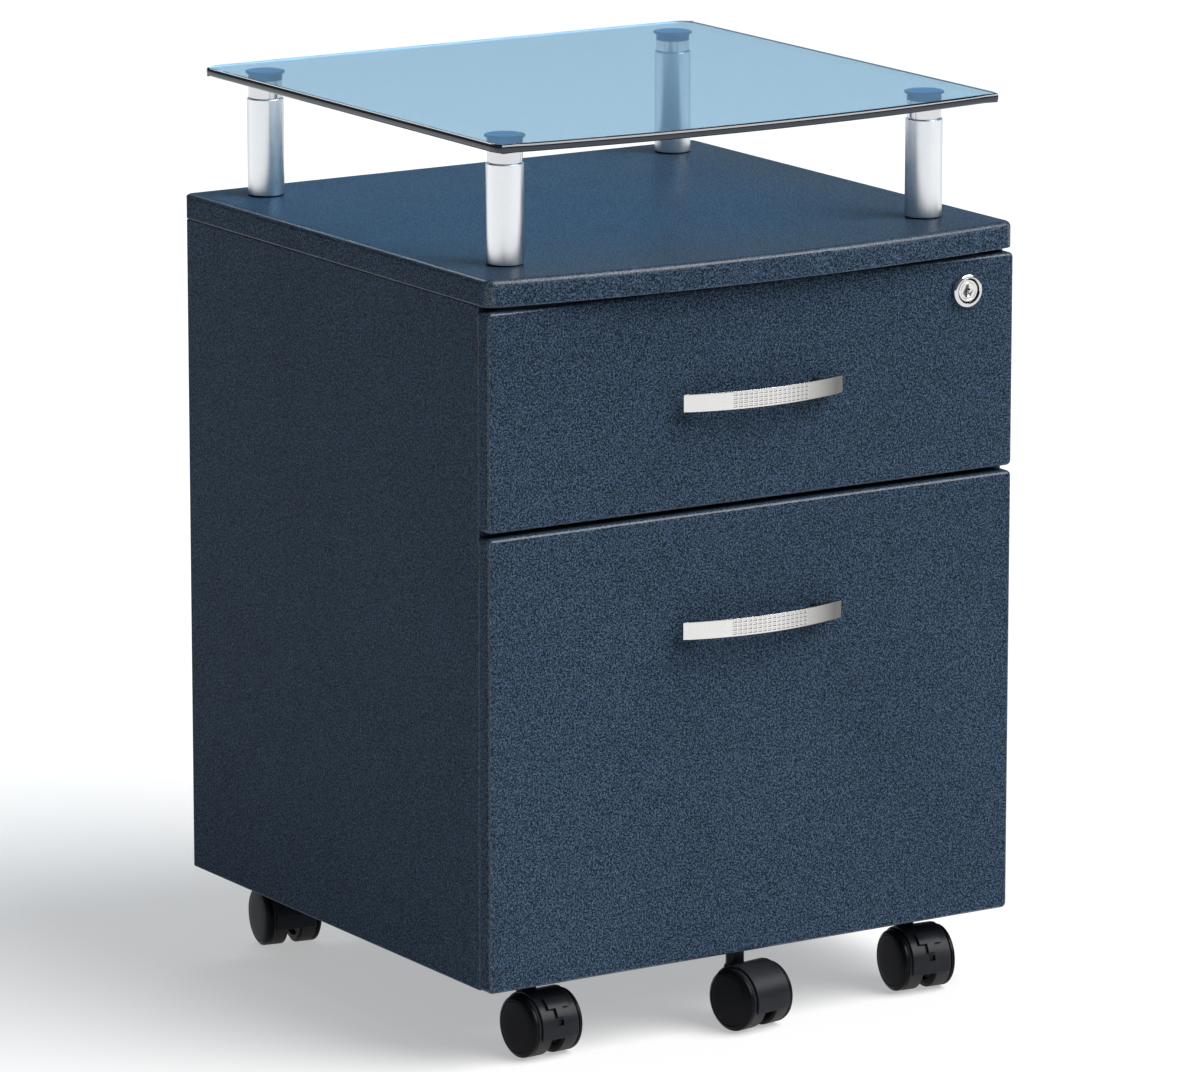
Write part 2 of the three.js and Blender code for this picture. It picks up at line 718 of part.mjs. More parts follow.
function addCaster(place, x, y, swivel, braked) {
  const caster = new THREE.Group();
  caster.position.set(x, y, 0);
  caster.rotation.z = THREE.MathUtils.degToRad(swivel);
  model.add(caster);
  addPiece(`caster_${place}_hood`, casterHood(braked), blackPlastic, caster);
  addPiece(`caster_${place}_wheel_left`, casterWheel(-1), blackPlastic, caster);
  addPiece(`caster_${place}_wheel_right`, casterWheel(1), blackPlastic, caster);
  if (braked) addPiece(`caster_${place}_brake`, brakeTab(), blackPlastic, caster);
}

addCarcass();
addShelf();
addBoxDrawer();
addFileDrawer();
cabinetCasters().forEach((caster) => addCaster(...caster));
addCaster('centre', 0, centreCasterY, 10, false);

export default model;
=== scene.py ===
"""Rolling pedestal cabinet with a raised glass shelf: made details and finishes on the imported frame.

Metres, +Z up, drawer fronts facing -Y. Sizes below are in millimetres where a name ends in _MM.
"""

import json
import math

import bmesh
import bpy
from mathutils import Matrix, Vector


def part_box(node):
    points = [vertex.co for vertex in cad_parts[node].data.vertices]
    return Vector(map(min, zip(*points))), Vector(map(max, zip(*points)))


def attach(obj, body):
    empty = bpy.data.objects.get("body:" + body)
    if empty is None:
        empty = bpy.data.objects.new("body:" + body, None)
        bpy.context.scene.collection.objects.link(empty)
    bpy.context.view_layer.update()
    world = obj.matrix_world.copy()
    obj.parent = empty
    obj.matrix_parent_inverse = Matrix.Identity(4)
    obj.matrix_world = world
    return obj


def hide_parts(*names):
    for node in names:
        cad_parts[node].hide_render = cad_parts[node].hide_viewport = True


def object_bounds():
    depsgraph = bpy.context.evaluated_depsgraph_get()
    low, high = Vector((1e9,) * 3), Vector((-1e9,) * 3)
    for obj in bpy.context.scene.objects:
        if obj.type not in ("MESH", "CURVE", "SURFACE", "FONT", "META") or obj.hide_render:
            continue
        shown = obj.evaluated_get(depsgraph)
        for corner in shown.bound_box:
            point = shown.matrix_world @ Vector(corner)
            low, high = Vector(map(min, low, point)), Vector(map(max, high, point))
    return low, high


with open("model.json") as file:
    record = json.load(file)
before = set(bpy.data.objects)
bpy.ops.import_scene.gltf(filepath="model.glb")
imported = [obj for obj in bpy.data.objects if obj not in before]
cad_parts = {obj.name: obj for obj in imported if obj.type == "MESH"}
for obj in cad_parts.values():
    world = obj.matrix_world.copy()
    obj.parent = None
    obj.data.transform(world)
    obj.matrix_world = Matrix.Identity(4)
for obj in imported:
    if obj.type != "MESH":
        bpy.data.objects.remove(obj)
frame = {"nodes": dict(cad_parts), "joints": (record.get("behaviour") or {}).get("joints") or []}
cad_low, cad_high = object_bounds()

MM = 0.001
NODES = frame["nodes"]

# Camera
CAMERA_PLACE = Vector((-2.7929, -4.4001, 1.4489))
CAMERA_AZIMUTH = math.radians(-32.375)
CAMERA_DIP = math.radians(12.407)
CAMERA_LENS = 235.6
CAMERA_SENSOR = 36.0

# Facets
TURNED_FACETS = 64
WHEEL_FACETS = 72
BOW_FACETS = 800
ROUND_SEGMENTS = 4
FLAT_ENOUGH = 0.98


def add_camera():
    camera = bpy.data.objects.new("camera", bpy.data.cameras.new("camera"))
    bpy.context.scene.collection.objects.link(camera)
    back = Vector((
        math.sin(CAMERA_AZIMUTH) * math.cos(CAMERA_DIP),
        -math.cos(CAMERA_AZIMUTH) * math.cos(CAMERA_DIP),
        math.sin(CAMERA_DIP),
    ))
    camera.rotation_mode = "QUATERNION"
    camera.rotation_quaternion = (-back).to_track_quat("-Z", "Y")
    camera.location = CAMERA_PLACE
    camera.data.lens = CAMERA_LENS
    camera.data.sensor_width = CAMERA_SENSOR
    camera.data.clip_end = 60
    bpy.context.scene.camera = camera


add_camera()


# Shader groups -----------------------------------------------------------------------------------

def new_group(name, inputs, outputs):
    """A shader group with named sockets: inputs are (name, kind, default), outputs (name, kind)."""
    group = bpy.data.node_groups.new(name, "ShaderNodeTree")
    for label, kind, default in inputs:
        socket = group.interface.new_socket(label, in_out="INPUT", socket_type=f"NodeSocket{kind}")
        socket.default_value = default
    for label, kind in outputs:
        group.interface.new_socket(label, in_out="OUTPUT", socket_type=f"NodeSocket{kind}")
    return group, group.nodes.new("NodeGroupInput"), group.nodes.new("NodeGroupOutput")


def add_node(tree, kind, links=None, **settings):
    """A node with its settings and its inputs: a socket is linked, anything else is a value."""
    node = tree.nodes.new(f"ShaderNode{kind}")
    for key, value in settings.items():
        setattr(node, key, value)
    for key, value in (links or {}).items():
        if isinstance(value, bpy.types.NodeSocket):
            tree.links.new(value, node.inputs[key])
        else:
            node.inputs[key].default_value = value
    return node


def math_node(tree, operation, first, second=0.0, third=0.0, clamp=False):
    return add_node(
        tree, "Math", {0: first, 1: second, 2: third}, operation=operation, use_clamp=clamp,
    ).outputs[0]


def spread(tree, value, low, high, to_low=0.0, to_high=1.0):
    """A value stretched from low..high to to_low..to_high and held there."""
    links = {"Value": value, "From Min": low, "From Max": high, "To Min": to_low, "To Max": to_high}
    return add_node(tree, "MapRange", links).outputs["Result"]


def blend_colours(tree, share, first, second, how="MIX"):
    node = add_node(tree, "Mix", data_type="RGBA", blend_type=how)
    for index, value in ((0, share), (6, first), (7, second)):
        if isinstance(value, bpy.types.NodeSocket):
            tree.links.new(value, node.inputs[index])
        else:
            node.inputs[index].default_value = value
    return node.outputs[2]


def noise(tree, place, scale, detail=2.0, roughness=0.5):
    return add_node(
        tree, "TexNoise", {"Vector": place, "Scale": scale, "Detail": detail, "Roughness": roughness},
    ).outputs[0]


def make_fleck_group():
    """Sprayed metallic lacquer: fine grain, scattered bright flakes and a faint orange peel."""
    group, inside, outside = new_group(
        "metallic_fleck",
        [("Ground", "Color", (0.05, 0.07, 0.1, 1)), ("Flake", "Color", (0.3, 0.35, 0.4, 1)),
         ("Grain Size", "Float", 1.0), ("Grain Contrast", "Float", 0.5),
         ("Roughness", "Float", 0.4)],
        [("Colour", "Color"), ("Roughness", "Float"), ("Height", "Float")],
    )
    place = add_node(group, "TexCoord").outputs["Object"]
    scaled = add_node(
        group, "VectorMath", {0: place, "Scale": inside.outputs["Grain Size"]}, operation="SCALE",
    ).outputs[0]
    grain = noise(group, scaled, 900.0, 1.5, 0.65)
    patch = noise(group, place, 9.0, 3.0, 0.5)
    flake_cells = add_node(group, "TexVoronoi", {"Vector": scaled, "Scale": 620.0})
    flake_pick = spread(group, flake_cells.outputs["Color"], 0.62, 0.95)
    flake_dot = spread(group, flake_cells.outputs["Distance"], 0.45, 0.1)
    flakes = math_node(group, "MULTIPLY", flake_pick, flake_dot)
    speck = spread(group, grain, 0.42, 0.72)
    lift = math_node(group, "MULTIPLY", speck, inside.outputs["Grain Contrast"])
    shade = math_node(group, "ADD", math_node(group, "MULTIPLY", lift, 3.4), 0.3)
    drift = spread(group, patch, 0.3, 0.7, 0.94, 1.06)
    total = math_node(group, "MULTIPLY", shade, drift)
    grey = add_node(group, "CombineColor", {0: total, 1: total, 2: total}).outputs[0]
    ground = blend_colours(group, 1.0, inside.outputs["Ground"], grey, "MULTIPLY")
    share = math_node(group, "MULTIPLY", flakes, inside.outputs["Grain Contrast"])
    colour = blend_colours(group, share, ground, inside.outputs["Flake"])
    rough = math_node(
        group, "ADD", inside.outputs["Roughness"], spread(group, patch, 0.3, 0.7, -0.03, 0.03),
    )
    peel = noise(group, place, 420.0, 1.0, 0.5)
    height = math_node(group, "ADD", peel, math_node(group, "MULTIPLY", grain, 0.5))
    group.links.new(colour, outside.inputs["Colour"])
    group.links.new(rough, outside.inputs["Roughness"])
    group.links.new(height, outside.inputs["Height"])
    return group


def make_brush_group():
    """Brushed or drawn metal: long fine lines along one direction, with faint clouding, and a painted shade
    that darkens it by the share fed to its shade input.
    """
    group, inside, outside = new_group(
        "brushed_lines",
        [("Metal", "Color", (0.8, 0.8, 0.8, 1)), ("Stretch", "Vector", (1, 1, 1)),
         ("Lines", "Float", 0.5), ("Roughness", "Float", 0.3), ("Shade", "Float", 0.0)],
        [("Colour", "Color"), ("Roughness", "Float"), ("Height", "Float")],
    )
    place = add_node(group, "TexCoord").outputs["Object"]
    long_place = add_node(
        group, "VectorMath", {0: place, 1: inside.outputs["Stretch"]}, operation="MULTIPLY",
    ).outputs[0]
    lines = noise(group, long_place, 1500.0, 3.0, 0.6)
    cloud = noise(group, place, 60.0, 3.0, 0.55)
    swing = math_node(
        group, "MULTIPLY", math_node(group, "SUBTRACT", lines, 0.5), inside.outputs["Lines"],
    )
    shade = math_node(group, "ADD", math_node(group, "MULTIPLY", swing, 0.5), 1.0)
    clouded = math_node(group, "MULTIPLY", shade, spread(group, cloud, 0.3, 0.7, 0.97, 1.02))
    # Painted shade: the colour is darkened by the share fed in, where the face turns from the viewer.
    lit = math_node(group, "SUBTRACT", 1.0, inside.outputs["Shade"])
    total = math_node(group, "MULTIPLY", clouded, lit)
    grey = add_node(group, "CombineColor", {0: total, 1: total, 2: total}).outputs[0]
    colour = blend_colours(group, 1.0, inside.outputs["Metal"], grey, "MULTIPLY")
    rough = math_node(
        group, "ADD", inside.outputs["Roughness"], math_node(group, "MULTIPLY", swing, 0.35),
    )
    cloud_rough = math_node(group, "ADD", rough, spread(group, cloud, 0.3, 0.7, -0.02, 0.03))
    group.links.new(colour, outside.inputs["Colour"])
    group.links.new(cloud_rough, outside.inputs["Roughness"])
    group.links.new(lines, outside.inputs["Height"])
    return group


def make_moulded_group():
    """Moulded plastic or sheet goods: soft mottling, a fine skin texture and dusty smudges."""
    group, inside, outside = new_group(
        "moulded_skin",
        [("Colour", "Color", (0.02, 0.02, 0.02, 1)), ("Dust", "Color", (0.2, 0.2, 0.2, 1)),
         ("Dust Share", "Float", 0.1), ("Skin Scale", "Float", 900.0),
         ("Roughness", "Float", 0.4)],
        [("Colour", "Color"), ("Roughness", "Float"), ("Height", "Float")],
    )
    place = add_node(group, "TexCoord").outputs["Object"]
    skin = noise(group, place, inside.outputs["Skin Scale"], 2.0, 0.6)
    smudge = noise(group, place, 35.0, 4.0, 0.6)
    mottling = spread(group, skin, 0.25, 0.75, 0.86, 1.14)
    grey = add_node(group, "CombineColor", {0: mottling, 1: mottling, 2: mottling}).outputs[0]
    ground = blend_colours(group, 1.0, inside.outputs["Colour"], grey, "MULTIPLY")
    film = spread(group, smudge, 0.45, 0.8)
    share = math_node(group, "MULTIPLY", film, inside.outputs["Dust Share"])
    colour = blend_colours(group, share, ground, inside.outputs["Dust"])
    rough = math_node(
        group, "ADD", inside.outputs["Roughness"], spread(group, smudge, 0.3, 0.7, -0.05, 0.07),
    )
    group.links.new(colour, outside.inputs["Colour"])
    group.links.new(rough, outside.inputs["Roughness"])
    group.links.new(skin, outside.inputs["Height"])
    return group


FLECK = make_fleck_group()
BRUSH = make_brush_group()
SKIN = make_moulded_group()


def make_finish(name, group, group_values, bump, shader_values, painted_turn_shade=None):
    """A material from one pattern group: colour, roughness and a fine bump on a Principled shader.

    The last argument, where given, is (from, to, share): as a face turns from the viewer over that span,
    its colour darkens by up to that share, a painted shade standing for dark reflections.
    """
    finish = bpy.data.materials.new(name)
    finish.use_nodes = True
    tree = finish.node_tree
    shader = tree.nodes["Principled BSDF"]
    pattern = tree.nodes.new("ShaderNodeGroup")
    pattern.node_tree = group
    for key, value in group_values.items():
        pattern.inputs[key].default_value = value
    for key, value in shader_values.items():
        shader.inputs[key].default_value = value
    tree.links.new(pattern.outputs["Colour"], shader.inputs["Base Color"])
    tree.links.new(pattern.outputs["Roughness"], shader.inputs["Roughness"])
    # Painted shade: a face turned from the viewer darkens, standing for the dark reflections at a metal's
    # sides.
    if painted_turn_shade:
        first, last, share = painted_turn_shade
        facing = add_node(tree, "LayerWeight", {"Blend": 0.5}).outputs["Facing"]
        tree.links.new(spread(tree, facing, first, last, 0.0, share), pattern.inputs["Shade"])
    strength, distance = bump
    relief = add_node(
        tree, "Bump", {"Strength": strength, "Distance": distance, "Height": pattern.outputs["Height"]},
    )
    tree.links.new(relief.outputs["Normal"], shader.inputs["Normal"])
    return finish


LACQUER = make_finish(
    "graphite_lacquer", FLECK,
    {"Ground": (0.026, 0.043, 0.068, 1), "Flake": (0.14, 0.19, 0.25, 1),
     "Grain Contrast": 0.75, "Roughness": 0.32},
    (0.1, 0.0002), {"Metallic": 0.0, "Specular IOR Level": 0.015},
)
# Rounded edges: a lighter ground and flake, a painted highlight, with a higher specular level.
EDGE_HIGHLIGHT_LACQUER = make_finish(
    "graphite_polished_edge", FLECK,
    {"Ground": (0.034, 0.054, 0.084, 1), "Flake": (0.16, 0.21, 0.27, 1),
     "Grain Contrast": 0.6, "Roughness": 0.3},
    (0.08, 0.0002), {"Metallic": 0.0, "Specular IOR Level": 0.3},
)
DRAWER_BOARD = make_finish(
    "drawer_board", SKIN,
    {"Colour": (0.07, 0.075, 0.082, 1), "Dust": (0.16, 0.165, 0.17, 1), "Dust Share": 0.25,
     "Skin Scale": 600.0, "Roughness": 0.6},
    (0.15, 0.0002), {"Specular IOR Level": 0.3},
)
# Posts: painted shade darkens the metal at the sides that turn from the viewer, standing for dark
# reflections.
ALUMINIUM = make_finish(
    "satin_aluminium", BRUSH,
    {"Metal": (0.91, 0.93, 0.96, 1), "Stretch": (1.0, 1.0, 0.06), "Lines": 0.25,
     "Roughness": 0.3},
    (0.05, 0.0001), {"Metallic": 1.0}, (0.45, 1.0, 0.55),
)
# Handles and lock plug: painted shade darkens the metal where it turns from the viewer, standing for a dark
# reflection.
NICKEL = make_finish(
    "satin_nickel", BRUSH,
    {"Metal": (0.80, 0.79, 0.775, 1), "Stretch": (0.05, 1.0, 1.0), "Lines": 0.4,
     "Roughness": 0.24},
    (0.06, 0.0001), {"Metallic": 1.0}, (0.2, 0.4, 0.78),
)
CHROME = make_finish(
    "chrome", BRUSH,
    {"Metal": (0.70, 0.71, 0.73, 1), "Stretch": (1.0, 1.0, 1.0), "Lines": 0.08,
     "Roughness": 0.1},
    (0.02, 0.0001), {"Metallic": 1.0},
)
# The collar cup is chrome; its dark blue colour is a painted reflection and tint of the blue glass above
# it, and the painted shade darkens it as it turns away.
CUP_PAINTED_REFLECTION = make_finish(
    "tinted_cup", BRUSH,
    {"Metal": (0.008, 0.09, 0.20, 1), "Stretch": (1.0, 1.0, 0.2), "Lines": 0.2,
     "Roughness": 0.16},
    (0.03, 0.0001), {"Metallic": 1.0}, (0.15, 0.6, 0.75),
)
# The pad's dark blue is painted shade and tint: it stands for the dark blue centre seen through the glass
# over each collar.
PAD_PAINTED_SHADE = make_finish(
    "bonding_pad", SKIN,
    {"Colour": (0.01, 0.10, 0.20, 1), "Dust": (0.03, 0.16, 0.28, 1), "Dust Share": 0.3,
     "Skin Scale": 500.0, "Roughness": 0.3},
    (0.03, 0.0002), {"Specular IOR Level": 0.3},
)
ZINC = make_finish(
    "zinc_steel", BRUSH,
    {"Metal": (0.55, 0.56, 0.57, 1), "Stretch": (0.3, 0.3, 0.3), "Lines": 0.6,
     "Roughness": 0.38},
    (0.08, 0.0001), {"Metallic": 0.95},
)
ENAMEL = make_finish(
    "slide_enamel", SKIN,
    {"Colour": (0.72, 0.72, 0.70, 1), "Dust": (0.45, 0.44, 0.42, 1), "Dust Share": 0.2,
     "Skin Scale": 1400.0, "Roughness": 0.38},
    (0.1, 0.0002), {},
)
NYLON = make_finish(
    "roller_nylon", SKIN,
    {"Colour": (0.78, 0.77, 0.73, 1), "Dust": (0.4, 0.39, 0.36, 1), "Dust Share": 0.3,
     "Skin Scale": 1000.0, "Roughness": 0.45},
    (0.05, 0.0002), {},
)
HOOD_PLASTIC = make_finish(
    "caster_hood", SKIN,
    {"Colour": (0.012, 0.013, 0.017, 1), "Dust": (0.06, 0.06, 0.065, 1), "Dust Share": 0.15,
     "Skin Scale": 1300.0, "Roughness": 0.32},
    (0.1, 0.0002), {"Specular IOR Level": 0.12},
)
WHEEL_PLASTIC = make_finish(
    "caster_wheel", SKIN,
    {"Colour": (0.004, 0.0045, 0.006, 1), "Dust": (0.025, 0.026, 0.03, 1), "Dust Share": 0.12,
     "Skin Scale": 1500.0, "Roughness": 0.28},
    (0.06, 0.0002), {"Specular IOR Level": 0.07},
)
TREAD_RUBBER = make_finish(
    "caster_tread", SKIN,
    {"Colour": (0.01, 0.0105, 0.012, 1), "Dust": (0.12, 0.115, 0.11, 1), "Dust Share": 0.3,
     "Skin Scale": 700.0, "Roughness": 0.6},
    (0.2, 0.0003), {"Specular IOR Level": 0.3},
)
# Near-black for the thin ring under each post.
POST_BASE_BLACK = make_finish(
    "foot_rubber", SKIN,
    {"Colour": (0.004, 0.0045, 0.006, 1), "Dust": (0.02, 0.02, 0.022, 1), "Dust Share": 0.2,
     "Skin Scale": 900.0, "Roughness": 0.5},
    (0.1, 0.0002), {},
)


def make_glass(name, painted_edge_light):
    """Blue float glass that casts a tinted shadow.

    With the edge option, the edge faces are painted: dark and glossy from outside, a painted shade for the
    dark look of a glass edge, and pale through the glass, a painted light for the light the edge carries.
    """
    finish = bpy.data.materials.new(name)
    finish.use_nodes = True
    tree = finish.node_tree
    shader = tree.nodes["Principled BSDF"]
    for key, value in {
        "Base Color": (0.74, 0.87, 0.88, 1), "Metallic": 0.0, "IOR": 1.2,
        "Transmission Weight": 1.0, "Specular IOR Level": 0.5,
    }.items():
        shader.inputs[key].default_value = value
    pattern = tree.nodes.new("ShaderNodeGroup")
    pattern.node_tree = SKIN
    pattern.inputs["Roughness"].default_value = 0.02
    pattern.inputs["Skin Scale"].default_value = 60.0
    film = spread(tree, pattern.outputs["Roughness"], 0.0, 0.1, 0.0, 0.03)
    tree.links.new(film, shader.inputs["Roughness"])
    surface = shader.outputs[0]
    if painted_edge_light:
        # Painted shade on the edge seen from outside, painted light on it seen from inside the glass.
        dark = add_node(tree, "BsdfPrincipled", {
            "Base Color": (0.006, 0.012, 0.022, 1), "Roughness": 0.09, "Specular IOR Level": 0.7,
        })
        painted_pale_edge = add_node(tree, "BsdfPrincipled", {
            "Base Color": (0.72, 0.82, 0.90, 1), "Roughness": 0.6, "Specular IOR Level": 0.2,
        })
        inner_side = add_node(tree, "NewGeometry").outputs["Backfacing"]
        surface = add_node(
            tree, "MixShader", {0: inner_side, 1: dark.outputs[0], 2: painted_pale_edge.outputs[0]},
        ).outputs[0]
    clear = add_node(tree, "BsdfTransparent", {"Color": (0.60, 0.80, 0.90, 1)})
    rays = add_node(tree, "LightPath")
    mixed = add_node(tree, "MixShader", {
        0: rays.outputs["Is Shadow Ray"], 1: surface, 2: clear.outputs[0],
    })
    depth = add_node(tree, "VolumeAbsorption", {"Color": (0.12, 0.52, 0.82, 1), "Density": 42.0})
    output = tree.nodes["Material Output"]
    tree.links.new(mixed.outputs[0], output.inputs["Surface"])
    tree.links.new(depth.outputs[0], output.inputs["Volume"])
    return finish


GLASS = make_glass("shelf_glass", False)
GLASS_EDGE = make_glass("shelf_glass_edge", True)


# Bench: how pieces are started, picked and finished -------------------------------------------------

def start(name, kind, **size):
    """A primitive at its size and place, left open in edit mode with nothing picked."""
    bpy.ops.object.select_all(action="DESELECT")
    getattr(bpy.ops.mesh, f"primitive_{kind}_add")(**size)
    piece = bpy.context.active_object
    piece.name = piece.data.name = name
    bpy.ops.object.transform_apply(location=True, rotation=True, scale=True)
    bpy.ops.object.mode_set(mode="EDIT")
    bpy.ops.mesh.select_all(action="DESELECT")
    return piece


def pick(piece, kind, test):
    """Picks the open piece's verts, edges or faces that pass a test."""
    bpy.ops.mesh.select_mode(type={"verts": "VERT", "edges": "EDGE", "faces": "FACE"}[kind])
    bpy.ops.mesh.select_all(action="DESELECT")
    shape = bmesh.from_edit_mesh(piece.data)
    shape.normal_update()
    for part in getattr(shape, kind):
        if test(part):
            part.select_set(True)
    bmesh.update_edit_mesh(piece.data)


def near(a, b, slack=1e-5):
    return abs(a - b) < slack


def all_at(part, axis, level, slack=1e-5):
    return all(near(v.co[axis], level, slack) for v in part.verts)


def runs_along(edge, axis):
    step = edge.verts[1].co - edge.verts[0].co
    return abs(step[axis]) > 0.999 * step.length


def bevel(offset, segments=ROUND_SEGMENTS):
    bpy.ops.mesh.bevel(
        offset=offset, offset_type="OFFSET", segments=segments, profile=0.5, affect="EDGES",
        clamp_overlap=False,
    )


def close_up(piece, smooth=35):
    """Leaves edit mode, faces outwards, shaded smooth up to an angle and weighted by face."""
    bpy.ops.mesh.select_mode(type="VERT")
    bpy.ops.mesh.select_all(action="SELECT")
    bpy.ops.mesh.remove_doubles(threshold=1e-7)
    bpy.ops.mesh.normals_make_consistent(inside=False)
    bpy.ops.object.mode_set(mode="OBJECT")
    bpy.ops.object.shade_smooth_by_angle(angle=math.radians(smooth))
    weigh(piece)
    return piece


def weigh(piece):
    weighted = piece.modifiers.new("face_weights", "WEIGHTED_NORMAL")
    weighted.keep_sharp = True
    bpy.ops.object.modifier_apply(modifier=weighted.name)


def select_only(*pieces):
    bpy.ops.object.select_all(action="DESELECT")
    for piece in pieces:
        piece.select_set(True)
    bpy.context.view_layer.objects.active = pieces[0]


def joined(*pieces):
    """One piece of several; it keeps the first one's name."""
    select_only(*pieces)
    bpy.ops.object.join()
    return bpy.context.active_object


def copied(piece, name, move=(0, 0, 0), mirror_x=None, turn_z=None):
    """A copy with its own mesh, mirrored across a plane of constant x, turned or moved."""
    select_only(piece)
    bpy.ops.object.duplicate()
    twin = bpy.context.active_object
    twin.name = twin.data.name = name
    if mirror_x is not None:
        twin.scale.x = -1
        twin.location.x = 2 * mirror_x
        bpy.ops.object.transform_apply(location=True, rotation=True, scale=True)
        bpy.ops.object.mode_set(mode="EDIT")
        bpy.ops.mesh.select_all(action="SELECT")
        bpy.ops.mesh.normals_make_consistent(inside=False)
        bpy.ops.object.mode_set(mode="OBJECT")
    if turn_z is not None:
        twin.rotation_euler.z = turn_z
    twin.location = Vector(move)
    bpy.ops.object.transform_apply(location=True, rotation=True, scale=True)
    return twin


def cut_out(piece, cutter):
    """Takes the cutter's shape out of a piece, and puts the cutter away."""
    select_only(piece)
    knife = piece.modifiers.new("cut", "BOOLEAN")
    knife.operation = "DIFFERENCE"
    knife.solver = "EXACT"
    knife.object = cutter
    bpy.ops.object.modifier_apply(modifier=knife.name)
    bpy.data.objects.remove(cutter)


def hand_over(piece, body, finish, slot, *nodes):
    """Gives a finished piece its body and finish, and hides the CAD nodes that it stands for; the slot
    argument is not used.
    """
    piece.data.materials.clear()
    piece.data.materials.append(finish)
    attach(piece, body)
    if nodes:
        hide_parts(*nodes)
    return piece


def paint_edge_highlights(piece):
    """Rounded edges take the lighter, glossier edge finish, a painted highlight; flats, and a front's
    slight bow, keep their own.
    """
    piece.data.materials.append(EDGE_HIGHLIGHT_LACQUER)
    for face in piece.data.polygons:
        if max(abs(part) for part in face.normal) < FLAT_ENOUGH:
            face.material_index = 1


TURN_TO = {0: (0, math.pi / 2, 0), 1: (-math.pi / 2, 0, 0), 2: (0, 0, 0)}


def turned(name, axis, centre, profile, facets=TURNED_FACETS):
    """A turned part: a disc or, for a closed profile, a ring, pulled along its axis step by step.

    The profile is (height along the axis, radius) pairs; where it ends as it began, it is hollow.
    """
    hollow = profile[0] == profile[-1]
    place = Vector(centre)
    height, radius = profile[0]
    place[axis] += height
    piece = start(
        name, "circle", vertices=facets, radius=radius, location=place, rotation=TURN_TO[axis],
        fill_type="NOTHING" if hollow else "NGON",
    )
    bpy.ops.mesh.select_mode(type="EDGE" if hollow else "FACE")
    bpy.ops.mesh.select_all(action="SELECT")
    for next_height, next_radius in profile[1:]:
        step = Vector((0, 0, 0))
        step[axis] = next_height - height
        bpy.ops.mesh.extrude_region_move(TRANSFORM_OT_translate={"value": step})
        place[axis] += step[axis]
        share = next_radius / radius
        value = [1.0 if i == axis else share for i in range(3)]
        if share != 1:
            bpy.ops.transform.resize(value=value, center_override=place)
        height, radius = next_height, next_radius
    return close_up(piece)


def board(name, low, high, corner, face_edge, back_edge, axis, sign):
    """A board with rounded corners; the face on one side of an axis has a rounder edge."""
    middle, size = (low + high) / 2, high - low
    piece = start(name, "cube", size=1, location=middle, scale=size)
    if corner:
        pick(piece, "edges", lambda edge: runs_along(edge, axis))
        bevel(corner)
    face, back = (high, low) if sign > 0 else (low, high)
    pick(piece, "edges", lambda edge: all_at(edge, axis, face[axis]))
    bevel(face_edge)
    pick(piece, "edges", lambda edge: all_at(edge, axis, back[axis]))
    bevel(back_edge, 2)
    return close_up(piece)


def bowed_board(name, low, high, bow, corner, back_corner, upper_edge, lower_edge):
    """A board with a bowed front: a slice off a great disc, squared off and rounded over."""
    half = (high.x - low.x) / 2
    sweep_radius = (half * half + bow * bow) / (2 * bow)
    centre = Vector(((low.x + high.x) / 2, low.y + sweep_radius, (low.z + high.z) / 2))
    piece = start(
        name, "cylinder", vertices=BOW_FACETS, radius=sweep_radius, depth=high.z - low.z,
        location=centre,
    )
    for point, normal in (
        (low, (-1, 0, 0)), (high, (1, 0, 0)), (high, (0, 1, 0)),
    ):
        bpy.ops.mesh.select_all(action="SELECT")
        bpy.ops.mesh.bisect(
            plane_co=point, plane_no=normal, use_fill=True, clear_outer=True, clear_inner=False,
        )

    def round_corners(at_back, offset):
        pick(piece, "edges", lambda edge: runs_along(edge, 2)
             and near(abs(edge.verts[0].co.x - centre.x), half)
             and near(edge.verts[0].co.y, high.y) is at_back)
        bevel(offset, 6)

    corner_angle = math.pi / 2 + math.asin(half / sweep_radius)
    broad_at_back = back_corner > upper_edge
    if broad_at_back:
        round_corners(True, back_corner)
    round_corners(False, corner / math.tan(corner_angle / 2))
    pick(piece, "edges", lambda edge: all_at(edge, 2, high.z))
    bevel(upper_edge)
    pick(piece, "edges", lambda edge: all_at(edge, 2, low.z))
    bevel(lower_edge, ROUND_SEGMENTS if near(lower_edge, upper_edge) else 2)
    if not broad_at_back:
        round_corners(True, back_corner)
    return close_up(piece)


# Carcass ------------------------------------------------------------------------------------------

TOP_BOW_MM = 17
TOP_CORNER_MM = 7
TOP_BACK_CORNER_MM = 1.5
TOP_EDGE_MM = 4
GLASS_BOW_MM = 15
GLASS_CORNER_MM = 12
GLASS_EDGE_MM = 2.4
FACE_OF_PANE = 0.9
BOARD_CORNER = 1.6 * MM
EASED = 1 * MM
POST_FOOT = 1 * MM
POST_GROOVE = 1 * MM
COLLAR_SEAM = 8.2 * MM
CUP_LIP = 1.8 * MM


def make_carcass():
    low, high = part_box("top_panel")
    top = bowed_board(
        "top_board", low, high, TOP_BOW_MM * MM, TOP_CORNER_MM * MM, TOP_BACK_CORNER_MM * MM,
        TOP_EDGE_MM * MM, EASED,
    )
    paint_edge_highlights(hand_over(top, "cabinet", LACQUER, "graphite_lacquer", "top_panel"))
    for side in ("left", "right"):
        low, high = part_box(f"{side}_side_panel")
        panel = board(f"{side}_side_board", low, high, BOARD_CORNER, EASED, EASED, 2, 1)
        hand_over(panel, "cabinet", LACQUER, "graphite_lacquer", f"{side}_side_panel")
        paint_edge_highlights(panel)


